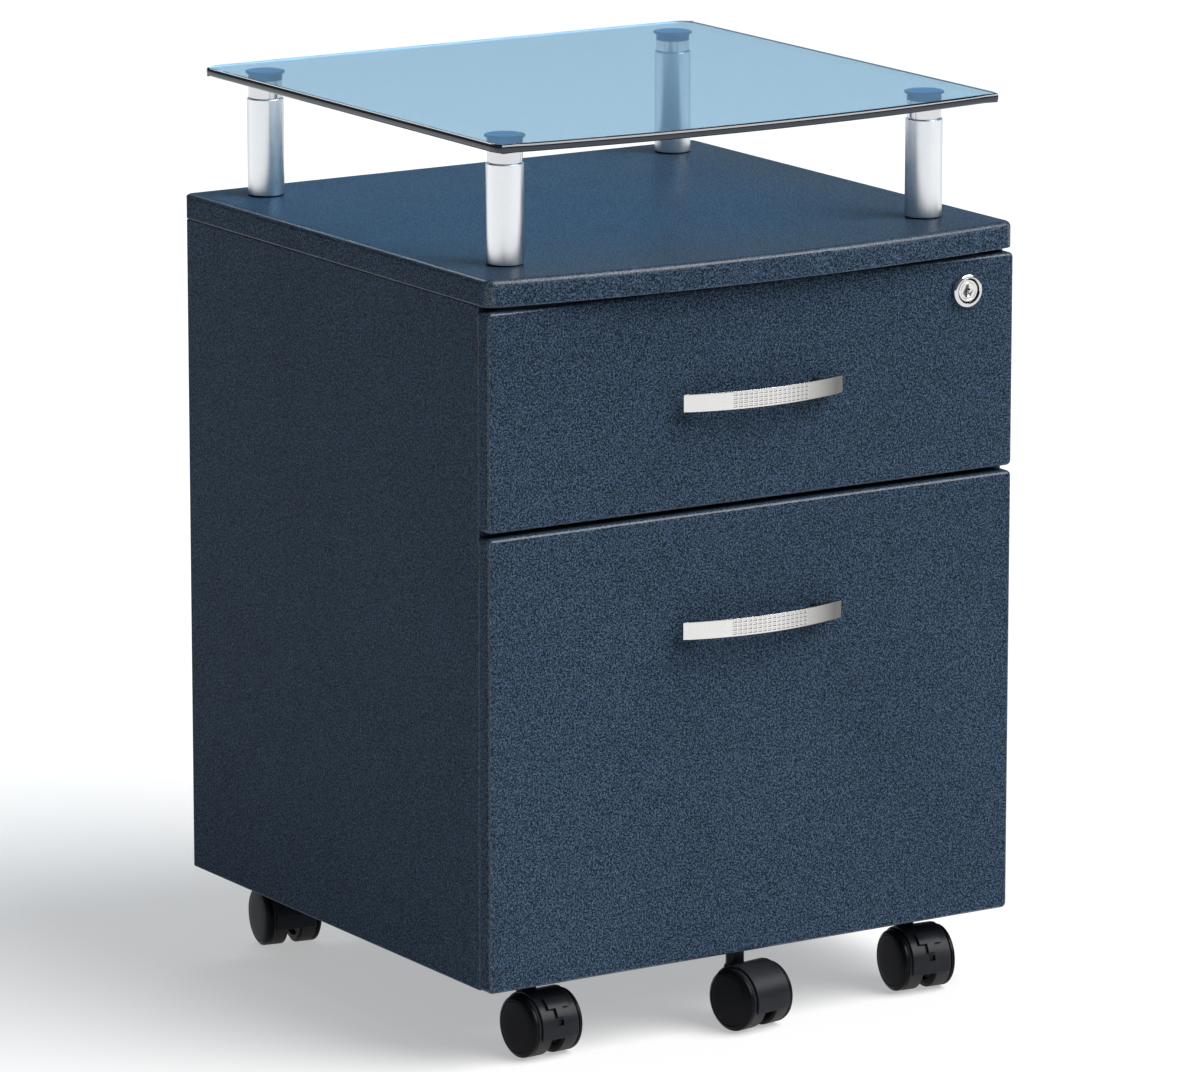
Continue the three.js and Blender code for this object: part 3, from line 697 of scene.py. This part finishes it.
def make_glass_shelf():
    low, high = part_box("glass_shelf")
    pane = bowed_board(
        "glass_pane", low, high, GLASS_BOW_MM * MM, GLASS_CORNER_MM * MM, GLASS_CORNER_MM * MM,
        GLASS_EDGE_MM * MM, GLASS_EDGE_MM * MM,
    )
    hand_over(pane, "cabinet", GLASS, "shelf_glass", "glass_shelf")
    # The pane's edge faces take the glass with the painted dark and pale edge.
    pane.data.materials.append(GLASS_EDGE)
    for face in pane.data.polygons:
        if abs(face.normal.z) < FACE_OF_PANE:
            face.material_index = 1
    for corner in ("front_left", "front_right", "rear_left", "rear_right"):
        low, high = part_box(f"post_{corner}")
        centre = (low + high) / 2
        centre.z = low.z
        radius, tall = (high.x - low.x) / 2, high.z - low.z
        post = turned(f"{corner}_post", 2, centre, [
            (POST_FOOT, radius - POST_GROOVE), (POST_FOOT, radius - 0.3 * MM),
            (POST_FOOT + 0.3 * MM, radius), (tall - 0.8 * MM, radius),
            (tall - 0.2 * MM, radius - 0.3 * MM), (tall, radius - 0.9 * MM),
        ])
        hand_over(post, "cabinet", ALUMINIUM, "satin_aluminium", f"post_{corner}")
        foot = turned(f"{corner}_post_foot_ring", 2, centre, [
            (0.02 * MM, radius - 0.8 * MM), (0.3 * MM, radius - 0.3 * MM),
            (0.7 * MM, radius - 0.3 * MM), (POST_FOOT - 0.02 * MM, radius - 0.8 * MM),
        ])
        hand_over(foot, "cabinet", POST_BASE_BLACK, "caster_hood")
        low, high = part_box(f"collar_{corner}")
        centre.z = low.z
        flange, tall = (high.x - low.x) / 2, high.z - low.z
        neck = flange - CUP_LIP
        ring = turned(f"{corner}_collar_ring", 2, centre, [
            (0, neck - 1.2 * MM), (0.6 * MM, neck - 1.2 * MM), (0.9 * MM, neck),
            (COLLAR_SEAM - 0.4 * MM, neck), (COLLAR_SEAM - 0.15 * MM, neck - 0.25 * MM),
            (COLLAR_SEAM - 0.15 * MM, neck - 1 * MM),
        ])
        hand_over(ring, "cabinet", CHROME, "chrome", f"collar_{corner}")
        cup = turned(f"{corner}_collar_cup", 2, centre, [
            (COLLAR_SEAM, neck - 1 * MM), (COLLAR_SEAM, neck - 0.25 * MM),
            (COLLAR_SEAM + 0.25 * MM, neck), (tall - 2.4 * MM, neck), (tall - 1.6 * MM, neck + 0.5 * MM),
            (tall - 1.6 * MM, flange - 0.3 * MM), (tall - 1.3 * MM, flange),
            (tall - 0.6 * MM, flange), (tall - 0.32 * MM, flange - 0.3 * MM),
            (tall - 0.32 * MM, flange - 1 * MM),
        ])
        hand_over(cup, "cabinet", CUP_PAINTED_REFLECTION, "chrome")
        pad = turned(f"{corner}_bonding_pad", 2, centre, [
            (tall - 0.3 * MM, flange - 1.5 * MM), (tall - 0.1 * MM, flange - 1.3 * MM),
            (tall - 0.03 * MM, flange - 1.5 * MM),
        ])
        hand_over(pad, "cabinet", PAD_PAINTED_SHADE, "shelf_glass")


# Drawer fronts, handles and lock --------------------------------------------------------------------

FRONT_EDGE_MM = 3
FRONT_CORNER_MM = 3.5
HANDLE_RISE_MM = 11
HANDLE_BAND_MM = 2.5
HANDLE_END_MM = 0.9
HANDLE_HOLES_MM = 96
HANDLE_FOOT_MM = 8
HANDLE_STEPS = 34
HANDLE_RIM = 0.35 * MM
HANDLE_ROWS = 6
ROWS_SPREAD = 1.3
DIMPLE_COLUMNS = 16
DIMPLE_MARGIN = 0.5 * MM
DIMPLE_SLOPE = 0.3 * MM
DIMPLE_DEPTH = 0.5 * MM
LOCK_BORE = 8.5 * MM
LOCK_SHANK = 9.3 * MM
LOCK_HOLE = 9.6 * MM
PLUG_STEP = 0.6 * MM


def make_front(drawer):
    low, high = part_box(f"{drawer}_front")
    front = board(
        f"{drawer}_front_board", low, high, FRONT_CORNER_MM * MM, FRONT_EDGE_MM * MM, EASED, 1, -1,
    )
    if drawer == "box":
        lock_low, lock_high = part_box("lock_housing")
        middle = (lock_low + lock_high) / 2
        bore = start(
            "lock_bore", "cylinder", vertices=TURNED_FACETS, radius=LOCK_HOLE, depth=0.1,
            location=middle, rotation=TURN_TO[1],
        )
        bpy.ops.object.mode_set(mode="OBJECT")
        cut_out(front, bore)
    hand_over(front, f"{drawer}_drawer", LACQUER, "graphite_lacquer", f"{drawer}_front")
    paint_edge_highlights(front)


def make_handle(drawer):
    """A flat band spun round a wide arc, four rows of dimples in its middle, on two feet."""
    low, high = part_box(f"{drawer}_handle")
    middle = (low + high) / 2
    band = HANDLE_BAND_MM * MM
    half = (high.x - low.x) / 2 - HANDLE_END_MM * MM
    rise = HANDLE_RISE_MM * MM
    tall = high.z - low.z
    inner_radius = (half * half + rise * rise) / (2 * rise)
    outer_radius = inner_radius + band
    centre = Vector((middle.x, low.y + outer_radius, middle.z))
    sweep = math.asin(half / inner_radius)
    mid_radius = inner_radius + band / 2
    strip = start(
        f"{drawer}_handle_band", "grid", x_subdivisions=HANDLE_ROWS, y_subdivisions=1, size=tall,
        location=(centre.x, centre.y - mid_radius, centre.z), rotation=(0, math.pi / 2, 0),
    )
    pick(strip, "verts", lambda v: abs(v.co.z - centre.z) < 0.45 * tall)
    bpy.ops.transform.resize(value=(1, 1, ROWS_SPREAD), center_override=centre)
    bpy.ops.mesh.select_all(action="SELECT")
    bpy.ops.transform.resize(
        value=(1, band / tall, 1), center_override=(centre.x, centre.y - mid_radius, centre.z),
    )
    bpy.ops.transform.rotate(value=-sweep, orient_axis="Z", center_override=centre)
    bpy.ops.mesh.select_all(action="SELECT")
    bpy.ops.mesh.spin(
        steps=HANDLE_STEPS, angle=2 * sweep, center=centre, axis=(0, 0, 1), use_auto_merge=False,
    )
    bpy.ops.mesh.select_all(action="SELECT")
    bpy.ops.mesh.remove_doubles(threshold=1e-7)
    bpy.ops.mesh.normals_make_consistent(inside=False)

    def is_rim(edge):
        return all(near(abs(v.co.z - centre.z), tall / 2) for v in edge.verts)

    pick(strip, "edges", is_rim)
    bevel(HANDLE_RIM, 2)

    def in_patch(face):
        spot = face.calc_center_median() - centre
        column = math.atan2(spot.x, -spot.y) / (2 * sweep / HANDLE_STEPS)
        outside = spot.xy.length > mid_radius
        return outside and abs(column) < DIMPLE_COLUMNS / 2 and abs(spot.z) < 0.4 * tall

    pick(strip, "faces", in_patch)
    bpy.ops.mesh.inset(thickness=DIMPLE_MARGIN, depth=0, use_individual=True)
    bpy.ops.mesh.inset(thickness=DIMPLE_SLOPE, depth=-DIMPLE_DEPTH, use_individual=True)
    close_up(strip, 40)
    feet = []
    foot_half = HANDLE_FOOT_MM * MM / 2
    for sign in (-1, 1):
        x = middle.x + sign * HANDLE_HOLES_MM * MM / 2
        band_y = centre.y - math.sqrt(inner_radius**2 - (x - centre.x)**2)
        foot_low = Vector((x - foot_half, band_y - band / 2, middle.z - foot_half))
        foot_high = Vector((x + foot_half, high.y, middle.z + foot_half))
        feet.append(board(
            f"{drawer}_handle_foot_{sign}", foot_low, foot_high, 1.2 * MM, 0.3 * MM, 0.3 * MM, 1, 1,
        ))
    handle = joined(strip, *feet)
    hand_over(handle, f"{drawer}_drawer", NICKEL, "satin_nickel", f"{drawer}_handle")


def make_lock():
    low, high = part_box("lock_housing")
    centre = (low + high) / 2
    centre.y = low.y
    rim = (high.x - low.x) / 2
    deep = high.y - low.y
    housing = turned("lock_rosette", 1, centre, [
        (0, LOCK_BORE + 0.3 * MM), (0, rim - 1.5 * MM), (0.3 * MM, rim - 0.7 * MM),
        (0.9 * MM, rim - 0.15 * MM), (1.4 * MM, rim), (3.99 * MM, rim), (3.99 * MM, LOCK_SHANK),
        (deep, LOCK_SHANK), (deep, LOCK_BORE), (0.4 * MM, LOCK_BORE),
        (0, LOCK_BORE + 0.3 * MM),
    ])
    hand_over(housing, "box_drawer", CHROME, "chrome", "lock_housing")

    low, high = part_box("lock_plug")
    centre.y = low.y
    radius = (high.x - low.x) / 2
    plug = turned("lock_cylinder", 1, centre, [
        (high.y - low.y, radius), (3 * MM, radius), (2.6 * MM, radius - PLUG_STEP),
        (0.4 * MM, radius - PLUG_STEP), (0, radius - 1 * MM), (0, radius * 0.74),
        (0.15 * MM, radius * 0.72), (0.15 * MM, radius * 0.69), (0, radius * 0.67),
    ])
    slot = start("keyway", "cube", size=1, location=centre, scale=(1.5 * MM, 10 * MM, 5 * MM))
    pick(slot, "edges", lambda edge: runs_along(edge, 1))
    bevel(0.5 * MM, 3)
    close_up(slot)
    ward = start(
        "keyway_ward", "cube", size=1, location=centre + Vector((0.8 * MM, 0, 0.9 * MM)),
        scale=(1.4 * MM, 10 * MM, 1.4 * MM),
    )
    bpy.ops.object.mode_set(mode="OBJECT")
    cut_out(plug, slot)
    cut_out(plug, ward)
    hand_over(plug, "lock_barrel", NICKEL, "satin_nickel", "lock_plug")


# Casters --------------------------------------------------------------------------------------------

CASTERS = ("front_left", "front_right", "rear_left", "rear_right", "centre")
AXLE_Z = 21 * MM
TRAIL = 16 * MM
HOOD_RADIUS = 23 * MM
HOOD_WALL = 1.3 * MM
HOOD_HALF_WIDTH = 14.5 * MM
HOOD_FRONT_ANGLE = -16
HOOD_BACK_ANGLE = 178
HOOD_STEPS = 52
WEB_HALF_WIDTH = 3.6 * MM
WEB_STEPS = 26
TAB_GAP = 0.3 * MM
TAB_THICKNESS = 1.6 * MM
TAB_STEM_HALF_WIDTH = 3 * MM
TAB_BAR_HALF_WIDTH = 8.5 * MM
TAB_ANGLES = (21, 57)
TAB_BAR_ANGLE = 36
TAB_STEPS = 24
BRAKE_HOLE = Vector((5, 5, 4)) * MM
BRAKE_HOLE_RISE = 4.8 * MM


def joint_named(name):
    return next(joint for joint in frame["joints"] if joint["name"] == name)


def spun_wall(name, half_width, inner, outer, angles, steps):
    """A wall spun round the axle, left open: angles are measured up from the caster's front."""
    middle = (inner + outer) / 2
    angle = math.radians(angles[0])
    across = outer - inner
    wall = start(name, "plane", size=across, location=(0, -TRAIL - middle, AXLE_Z))
    bpy.ops.mesh.select_all(action="SELECT")
    bpy.ops.transform.resize(
        value=(2 * half_width / across, 1, 1), center_override=(0, -TRAIL - middle, AXLE_Z),
    )
    axle = (0, -TRAIL, AXLE_Z)
    if angle:
        bpy.ops.transform.rotate(value=angle, orient_axis="X", center_override=axle)
    bpy.ops.mesh.spin(
        steps=steps, angle=math.radians(angles[1] - angles[0]), center=axle, axis=(1, 0, 0),
        use_auto_merge=False,
    )
    bpy.ops.mesh.select_all(action="SELECT")
    bpy.ops.mesh.remove_doubles(threshold=1e-7)
    bpy.ops.mesh.normals_make_consistent(inside=False)
    return wall


def rises(v):
    """A point's angle about the axle, in degrees up from the caster's front."""
    return math.degrees(math.atan2(v.z - AXLE_Z, -(v.y + TRAIL)))


def make_hood(braked):
    shell = spun_wall(
        "hood_shell", HOOD_HALF_WIDTH, HOOD_RADIUS - HOOD_WALL, HOOD_RADIUS,
        (HOOD_FRONT_ANGLE, HOOD_BACK_ANGLE), HOOD_STEPS,
    )
    pick(shell, "edges", lambda edge: not runs_along(edge, 1)
         and all(near(abs(v.co.x), HOOD_HALF_WIDTH) for v in edge.verts)
         and all((v.co.yz - Vector((-TRAIL, AXLE_Z))).length > HOOD_RADIUS - 0.2 * MM
                 for v in edge.verts))
    bevel(0.45 * MM, 3)
    close_up(shell)
    web = spun_wall(
        "hood_web", WEB_HALF_WIDTH, 5 * MM, HOOD_RADIUS - 0.6 * MM,
        (HOOD_FRONT_ANGLE, HOOD_BACK_ANGLE), WEB_STEPS,
    )
    close_up(web)
    hub = turned("hood_hub", 0, (0, -TRAIL, AXLE_Z), [
        (-WEB_HALF_WIDTH, 6.4 * MM), (-WEB_HALF_WIDTH + 0.6 * MM, 7 * MM),
        (WEB_HALF_WIDTH - 0.6 * MM, 7 * MM), (WEB_HALF_WIDTH, 6.4 * MM),
    ], 32)
    axle = turned("hood_axle", 0, (0, -TRAIL, AXLE_Z), [
        (-14.9 * MM, 2.6 * MM), (-14.5 * MM, 3 * MM), (14.5 * MM, 3 * MM), (14.9 * MM, 2.6 * MM),
    ], 24)
    neck = turned("hood_neck", 2, (0, 0, 0), [
        (32 * MM, 7.4 * MM), (38.6 * MM, 7.4 * MM), (39.6 * MM, 6.6 * MM), (41 * MM, 6.2 * MM),
        (52.9 * MM, 6.2 * MM), (53.4 * MM, 5.6 * MM), (66 * MM, 5.5 * MM), (67 * MM, 4.6 * MM),
    ], 40)
    if braked:
        for wall in (shell, web):
            hole = start(
                "brake_hole", "cube", size=1, scale=BRAKE_HOLE,
                location=(0, -TRAIL - HOOD_RADIUS, AXLE_Z + BRAKE_HOLE_RISE),
            )
            bpy.ops.object.mode_set(mode="OBJECT")
            cut_out(wall, hole)
    return joined(shell, web, hub, axle, neck)


def make_brake():
    """The brake's T: a strip over the hood, widened to a bar at its top."""
    inner = HOOD_RADIUS + TAB_GAP
    outer = inner + TAB_THICKNESS
    tab = spun_wall("brake_tab", TAB_STEM_HALF_WIDTH, inner, outer, TAB_ANGLES, TAB_STEPS)
    for side in (-1, 1):
        pick(tab, "faces", lambda face: near(face.calc_center_median().x, side * TAB_STEM_HALF_WIDTH)
             and rises(face.calc_center_median()) > TAB_BAR_ANGLE)
        reach = (side * (TAB_BAR_HALF_WIDTH - TAB_STEM_HALF_WIDTH), 0, 0)
        bpy.ops.mesh.extrude_region_move(TRANSFORM_OT_translate={"value": reach})
    close_up(tab)
    trim = tab.modifiers.new("edge", "BEVEL")
    trim.width, trim.segments, trim.limit_method = 0.25 * MM, 2, "ANGLE"
    bpy.ops.object.modifier_apply(modifier=trim.name)
    bpy.ops.object.shade_smooth_by_angle(angle=math.radians(40))
    weigh(tab)
    return tab


def make_wheel(sign):
    """A wheel with a domed outer face inside a chamfered rim, and the tread that it runs on."""
    axle = (0, -TRAIL, AXLE_Z)
    core = turned("wheel_core", 0, axle, [(sign * h * MM, r * MM) for h, r in (
        (4.4, 5), (4.9, 5.6), (7, 6), (7, 15), (4.9, 15.6), (4.4, 16.2), (4.4, 18.8), (5, 19.6),
        (16.3, 19.6), (16.3, 20.7), (16.6, 21), (18, 21), (18.6, 20.8), (19.1, 20.3),
        (20.3, 18.2), (20.4, 17.8), (20.3, 17.5), (20.05, 17.35), (20.3, 17), (20.6, 15.5),
        (20.85, 12.5), (20.98, 8), (21, 3),
    )], WHEEL_FACETS)
    tread = turned("wheel_tread", 0, axle, [(sign * h * MM, r * MM) for h, r in (
        (5.2, 19.65), (5.2, 20.5), (5.4, 20.85), (5.8, 21), (15.2, 21), (15.6, 20.85), (15.9, 20.5),
        (15.9, 19.65), (5.2, 19.65),
    )], WHEEL_FACETS)
    return core, tread


def make_casters():
    hoods = {braked: make_hood(braked) for braked in (True, False)}
    brake = make_brake()
    wheels = {side: make_wheel(sign) for side, sign in (("left", -1), ("right", 1))}
    for place in CASTERS:
        swivel = joint_named(f"caster_{place}_swivel")
        roll = joint_named(f"caster_{place}_roll_left")
        turn = math.atan2(roll["axis"][1], roll["axis"][0])
        move = (swivel["pos_m"][0], swivel["pos_m"][1], 0)
        braked = f"caster_{place}_brake" in NODES
        hood = copied(hoods[braked], f"{place}_caster_housing", move, turn_z=turn)
        hand_over(hood, f"caster_{place}", HOOD_PLASTIC, "caster_hood", f"caster_{place}_hood")
        if braked:
            tab = copied(brake, f"{place}_brake_tab", move, turn_z=turn)
            hand_over(
                tab, f"caster_{place}_brake", HOOD_PLASTIC, "caster_hood", f"caster_{place}_brake",
            )
        for side, (core, tread) in wheels.items():
            node = f"caster_{place}_wheel_{side}"
            disc = copied(core, f"{place}_{side}_wheel_disc", move, turn_z=turn)
            hand_over(disc, node, WHEEL_PLASTIC, "caster_hood", node)
            ring = copied(tread, f"{place}_{side}_wheel_tread", move, turn_z=turn)
            hand_over(ring, node, TREAD_RUBBER, "caster_tread")
    patterns = [*hoods.values(), brake, *(part for pair in wheels.values() for part in pair)]
    for pattern in patterns:
        bpy.data.objects.remove(pattern)


# Slides and fasteners ---------------------------------------------------------------------------------

STEEL = 1.5 * MM
BEND = 1.2 * MM
ROLLER_RADIUS = 9 * MM
ROLLER_RISE = 10.8 * MM
ROLLER_SETBACK = 11 * MM
ROLLER_FROM_SIDE = 3.5 * MM
PIN_RADIUS = 3 * MM
UPPER_FLANGE_TRIM = 2 * MM
SCREW_RADIUS = 3.2 * MM
SCREW_HEAD = 1.2 * MM
SLIDE_SCREWS = (0.14, 0.42, 0.8)
BACK_EDGE = 8 * MM
BACK_ROWS = 4


def make_runner(name, web_x, inward, low, high, upper, lower):
    """Bent steel along Y: a web at web_x, with flanges of the widths asked at its top and foot."""
    runner = start(
        name, "plane", size=STEEL, rotation=(math.pi / 2, 0, 0),
        location=(web_x + inward * STEEL / 2, low.y, low.z + STEEL / 2),
    )
    inner_x = web_x + inward * STEEL

    def draw_out(test, step):
        pick(runner, "edges", test)
        bpy.ops.mesh.extrude_region_move(TRANSFORM_OT_translate={"value": step})

    if lower:
        draw_out(lambda edge: all_at(edge, 0, inner_x), (inward * (lower - STEEL), 0, 0))
    for level, rise in ((low.z + STEEL, high.z - low.z - 2 * STEEL), (high.z - STEEL, STEEL)):
        draw_out(
            lambda edge: all_at(edge, 2, level)
            and all(abs(v.co.x - web_x) < 1.01 * STEEL for v in edge.verts),
            (0, 0, rise),
        )
    draw_out(
        lambda edge: all_at(edge, 0, inner_x) and all(v.co.z > high.z - 1.01 * STEEL for v in edge.verts),
        (inward * (upper - STEEL), 0, 0),
    )
    bpy.ops.mesh.select_mode(type="FACE")
    bpy.ops.mesh.select_all(action="SELECT")
    bpy.ops.mesh.extrude_region_move(TRANSFORM_OT_translate={"value": (0, high.y - low.y, 0)})
    bpy.ops.mesh.select_all(action="SELECT")
    bpy.ops.mesh.normals_make_consistent(inside=False)
    bends = [high.z] + ([low.z] if lower else [])
    pick(runner, "edges", lambda edge: runs_along(edge, 1) and all_at(edge, 0, web_x)
         and any(all_at(edge, 2, level) for level in bends))
    bevel(BEND, 3)
    return close_up(runner)


def make_roller(name, place, sign):
    return turned(name, 0, place, [(sign * h * MM, r * MM) for h, r in (
        (0.6, 3.3), (0.6, 4.2), (0, 4.6), (0, 8.3), (0.2, 8.8), (0.6, 9), (4.9, 9), (5.3, 8.8),
        (5.5, 8.3), (5.5, 4.6), (4.9, 4.2), (4.9, 3.3),
    )], 40)


def make_screw_pattern():
    """A pan head facing -Y, with a cross recess."""
    head = turned("screw_pattern", 1, (0, 0, 0), [
        (0, SCREW_RADIUS), (-0.35 * SCREW_HEAD, SCREW_RADIUS),
        (-0.75 * SCREW_HEAD, 0.86 * SCREW_RADIUS), (-SCREW_HEAD, 0.55 * SCREW_RADIUS),
    ], 28)
    for across in ((0.34, 1.3), (1.3, 0.34)):
        cross = start(
            "cross_recess", "cube", size=1, location=(0, -SCREW_HEAD, 0),
            scale=(across[0] * SCREW_RADIUS, 1.3 * SCREW_HEAD, across[1] * SCREW_RADIUS),
        )
        bpy.ops.object.mode_set(mode="OBJECT")
        cut_out(head, cross)
    return head


def make_slides(screw):
    for drawer in ("box", "file"):
        for side, sign in (("left", -1), ("right", 1)):
            node = f"{drawer}_slide_{side}"
            low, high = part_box(f"{node}_cabinet")
            reach = high.x - low.x
            web_x = low.x if sign < 0 else high.x
            roller_z = low.z + ROLLER_RISE
            drawer_low, drawer_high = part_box(f"{node}_drawer")
            side_x = drawer_high.x if sign < 0 else drawer_low.x
            roller_x = side_x + sign * ROLLER_FROM_SIDE
            outer = make_runner(
                f"{node}_cabinet_runner", web_x, -sign, low, high, reach - UPPER_FLANGE_TRIM, reach,
            )
            pin_long = abs(web_x - sign * STEEL - roller_x) + 0.5 * MM
            front_pin = turned(
                f"{node}_front_pin", 0, (roller_x, low.y + ROLLER_SETBACK, roller_z),
                [(sign * h, r) for h, r in (
                    (0.2 * MM, 2.6 * MM), (0.5 * MM, PIN_RADIUS), (pin_long, PIN_RADIUS))], 28,
            )
            heads = [
                copied(screw, f"{node}_cabinet_screw_{index}", turn_z=-sign * math.pi / 2, move=(
                    web_x - sign * STEEL, low.y + share * (high.y - low.y), low.z + 0.62 * (high.z - low.z),
                )) for index, share in enumerate(SLIDE_SCREWS)
            ]
            hand_over(
                joined(outer, front_pin, *heads), "cabinet", ENAMEL, "slide_enamel", f"{node}_cabinet",
            )
            front = make_roller(
                f"{node}_front_roller", (roller_x, low.y + ROLLER_SETBACK, roller_z), sign,
            )
            hand_over(front, "cabinet", NYLON, "slide_enamel")

            foot = Vector((drawer_low.x, drawer_low.y, roller_z - ROLLER_RADIUS / 2))
            inner = make_runner(
                f"{node}_drawer_runner", side_x, sign, foot, drawer_high,
                drawer_high.x - drawer_low.x, 0,
            )
            rear_y = drawer_high.y - ROLLER_SETBACK
            rear_pin = turned(
                f"{node}_rear_pin", 0, (side_x, rear_y, roller_z), [(sign * h, r) for h, r in (
                    (1 * MM, PIN_RADIUS), (8.4 * MM, PIN_RADIUS), (8.7 * MM, 2.6 * MM))], 28,
            )
            heads = [
                copied(screw, f"{node}_drawer_screw_{index}", turn_z=sign * math.pi / 2, move=(
                    side_x + sign * STEEL, foot.y + share * (drawer_high.y - foot.y),
                    (foot.z + drawer_high.z) / 2,
                )) for index, share in enumerate(SLIDE_SCREWS)
            ]
            hand_over(
                joined(inner, rear_pin, *heads), f"{drawer}_drawer", ENAMEL, "slide_enamel",
                f"{node}_drawer",
            )
            rear = make_roller(f"{node}_rear_roller", (roller_x, rear_y, roller_z), sign)
            hand_over(rear, f"{drawer}_drawer", NYLON, "slide_enamel")


def make_screws(screw):
    """Screws round the back panel, and the two behind each handle inside its drawer."""
    low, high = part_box("back_panel")
    spots = [
        (x, low.z + BACK_EDGE + row * (high.z - low.z - 2 * BACK_EDGE) / (BACK_ROWS - 1))
        for x in (low.x + BACK_EDGE, high.x - BACK_EDGE) for row in range(BACK_ROWS)
    ]
    spots += [(x, z) for x in (low.x / 3, high.x / 3) for z in (low.z + BACK_EDGE, high.z - BACK_EDGE)]
    for index, (x, z) in enumerate(spots):
        head = copied(screw, f"back_screw_{index}", (x, high.y, z), turn_z=math.pi)
        hand_over(head, "cabinet", ZINC, "zinc_steel")
    for drawer in ("box", "file"):
        low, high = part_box(f"{drawer}_handle")
        inside_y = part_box(f"{drawer}_front")[1].y
        for index, sign in enumerate((-1, 1)):
            place = (sign * HANDLE_HOLES_MM * MM / 2, inside_y, (low.z + high.z) / 2)
            head = copied(screw, f"{drawer}_handle_screw_{index}", place, turn_z=math.pi)
            hand_over(head, f"{drawer}_drawer", ZINC, "zinc_steel")


make_carcass()
make_glass_shelf()
for drawer_name in ("box", "file"):
    make_front(drawer_name)
    make_handle(drawer_name)
make_lock()
make_casters()
screw_pattern = make_screw_pattern()
make_slides(screw_pattern)
make_screws(screw_pattern)
bpy.data.objects.remove(screw_pattern)

BOARD_EASE = 0.6 * MM
METAL_EASE = 0.25 * MM
CARRIED = {
    "bottom_panel": LACQUER, "back_panel": LACQUER, "lock_rail": ZINC, "lock_cam": ZINC,
    "centre_caster_socket": ZINC, "hanging_rail": ZINC, "_side_": DRAWER_BOARD,
    "_back": DRAWER_BOARD, "_bottom": DRAWER_BOARD,
}


def finish_carried_nodes():
    for name, node in NODES.items():
        if node.hide_render:
            continue
        finish = next(value for key, value in CARRIED.items() if key in name)
        node.data.materials.clear()
        node.data.materials.append(finish)
        node.modifiers.new("weld", "WELD").merge_threshold = 0.001 * MM
        ease = node.modifiers.new("ease", "BEVEL")
        ease.width = METAL_EASE if finish is ZINC else BOARD_EASE
        ease.segments, ease.limit_method = 2, "ANGLE"
        ease.angle_limit = math.radians(40)
        node.modifiers.new("face_weights", "WEIGHTED_NORMAL").keep_sharp = True


finish_carried_nodes()


# Studio -----------------------------------------------------------------------------------------------

FLOOR_SIZE = 60
FLOOR_DROP = 0.5 * MM
FLOOR_PAINT = (0.55, 0.55, 0.55, 1)
FLOOR_GLOW = 0.42
SUN_FROM = Vector((0.45, -0.55, 0.70))
SUN_STRENGTH = 4.35
SUN_SPREAD = math.radians(48)
AIR_STRENGTH = 0.12
AIR_TINT = (0.8, 0.92, 1.0, 1)
BACK_PLACE = Vector((2.1, 3.4, 1.4))
BACK_SIZE = (4.4, 1.6)
BACK_POWER = 9.5
RIM_PLACE = Vector((0.6, 2.5, 2.3))
RIM_SIZE = (2.6, 0.6)
RIM_POWER = 22


def add_light(name, kind, place, aim, **settings):
    light = bpy.data.lights.new(name, kind)
    for key, value in settings.items():
        setattr(light, key, value)
    lamp = bpy.data.objects.new(name, light)
    bpy.context.scene.collection.objects.link(lamp)
    lamp.location = place
    lamp.rotation_mode = "QUATERNION"
    lamp.rotation_quaternion = (aim - place).to_track_quat("-Z", "Y")


def make_studio():
    bpy.ops.object.select_all(action="DESELECT")
    bpy.ops.mesh.primitive_plane_add(size=FLOOR_SIZE, location=(0, 0, -FLOOR_DROP))
    floor = bpy.context.active_object
    floor.name = "studio_floor"
    paint = bpy.data.materials.new("floor_paint")
    paint.use_nodes = True
    shader = paint.node_tree.nodes["Principled BSDF"]
    shader.inputs["Base Color"].default_value = FLOOR_PAINT
    shader.inputs["Roughness"].default_value = 0.9
    shader.inputs["Specular IOR Level"].default_value = 0.0
    shader.inputs["Emission Color"].default_value = (1, 1, 1, 1)
    shader.inputs["Emission Strength"].default_value = FLOOR_GLOW
    floor.data.materials.append(paint)
    world = bpy.data.worlds.new("studio_air")
    bpy.context.scene.world = world
    world.use_nodes = True
    air = world.node_tree.nodes["Background"]
    air.inputs["Color"].default_value = AIR_TINT
    air.inputs["Strength"].default_value = AIR_STRENGTH
    bpy.context.scene.view_settings.view_transform = "Standard"
    middle = (cad_low + cad_high) / 2
    add_light(
        "wide_softbox", "SUN", middle + SUN_FROM, middle, energy=SUN_STRENGTH, angle=SUN_SPREAD,
        color=(1.0, 0.99, 0.98),
    )
    add_light(
        "back_softbox", "AREA", BACK_PLACE, middle, shape="RECTANGLE", size=BACK_SIZE[0],
        size_y=BACK_SIZE[1], energy=BACK_POWER, color=(0.36, 0.68, 1.0),
    )
    add_light(
        "rim_softbox", "AREA", RIM_PLACE, middle, shape="RECTANGLE", size=RIM_SIZE[0],
        size_y=RIM_SIZE[1], energy=RIM_POWER, color=(0.9, 0.95, 1.0),
    )


make_studio()
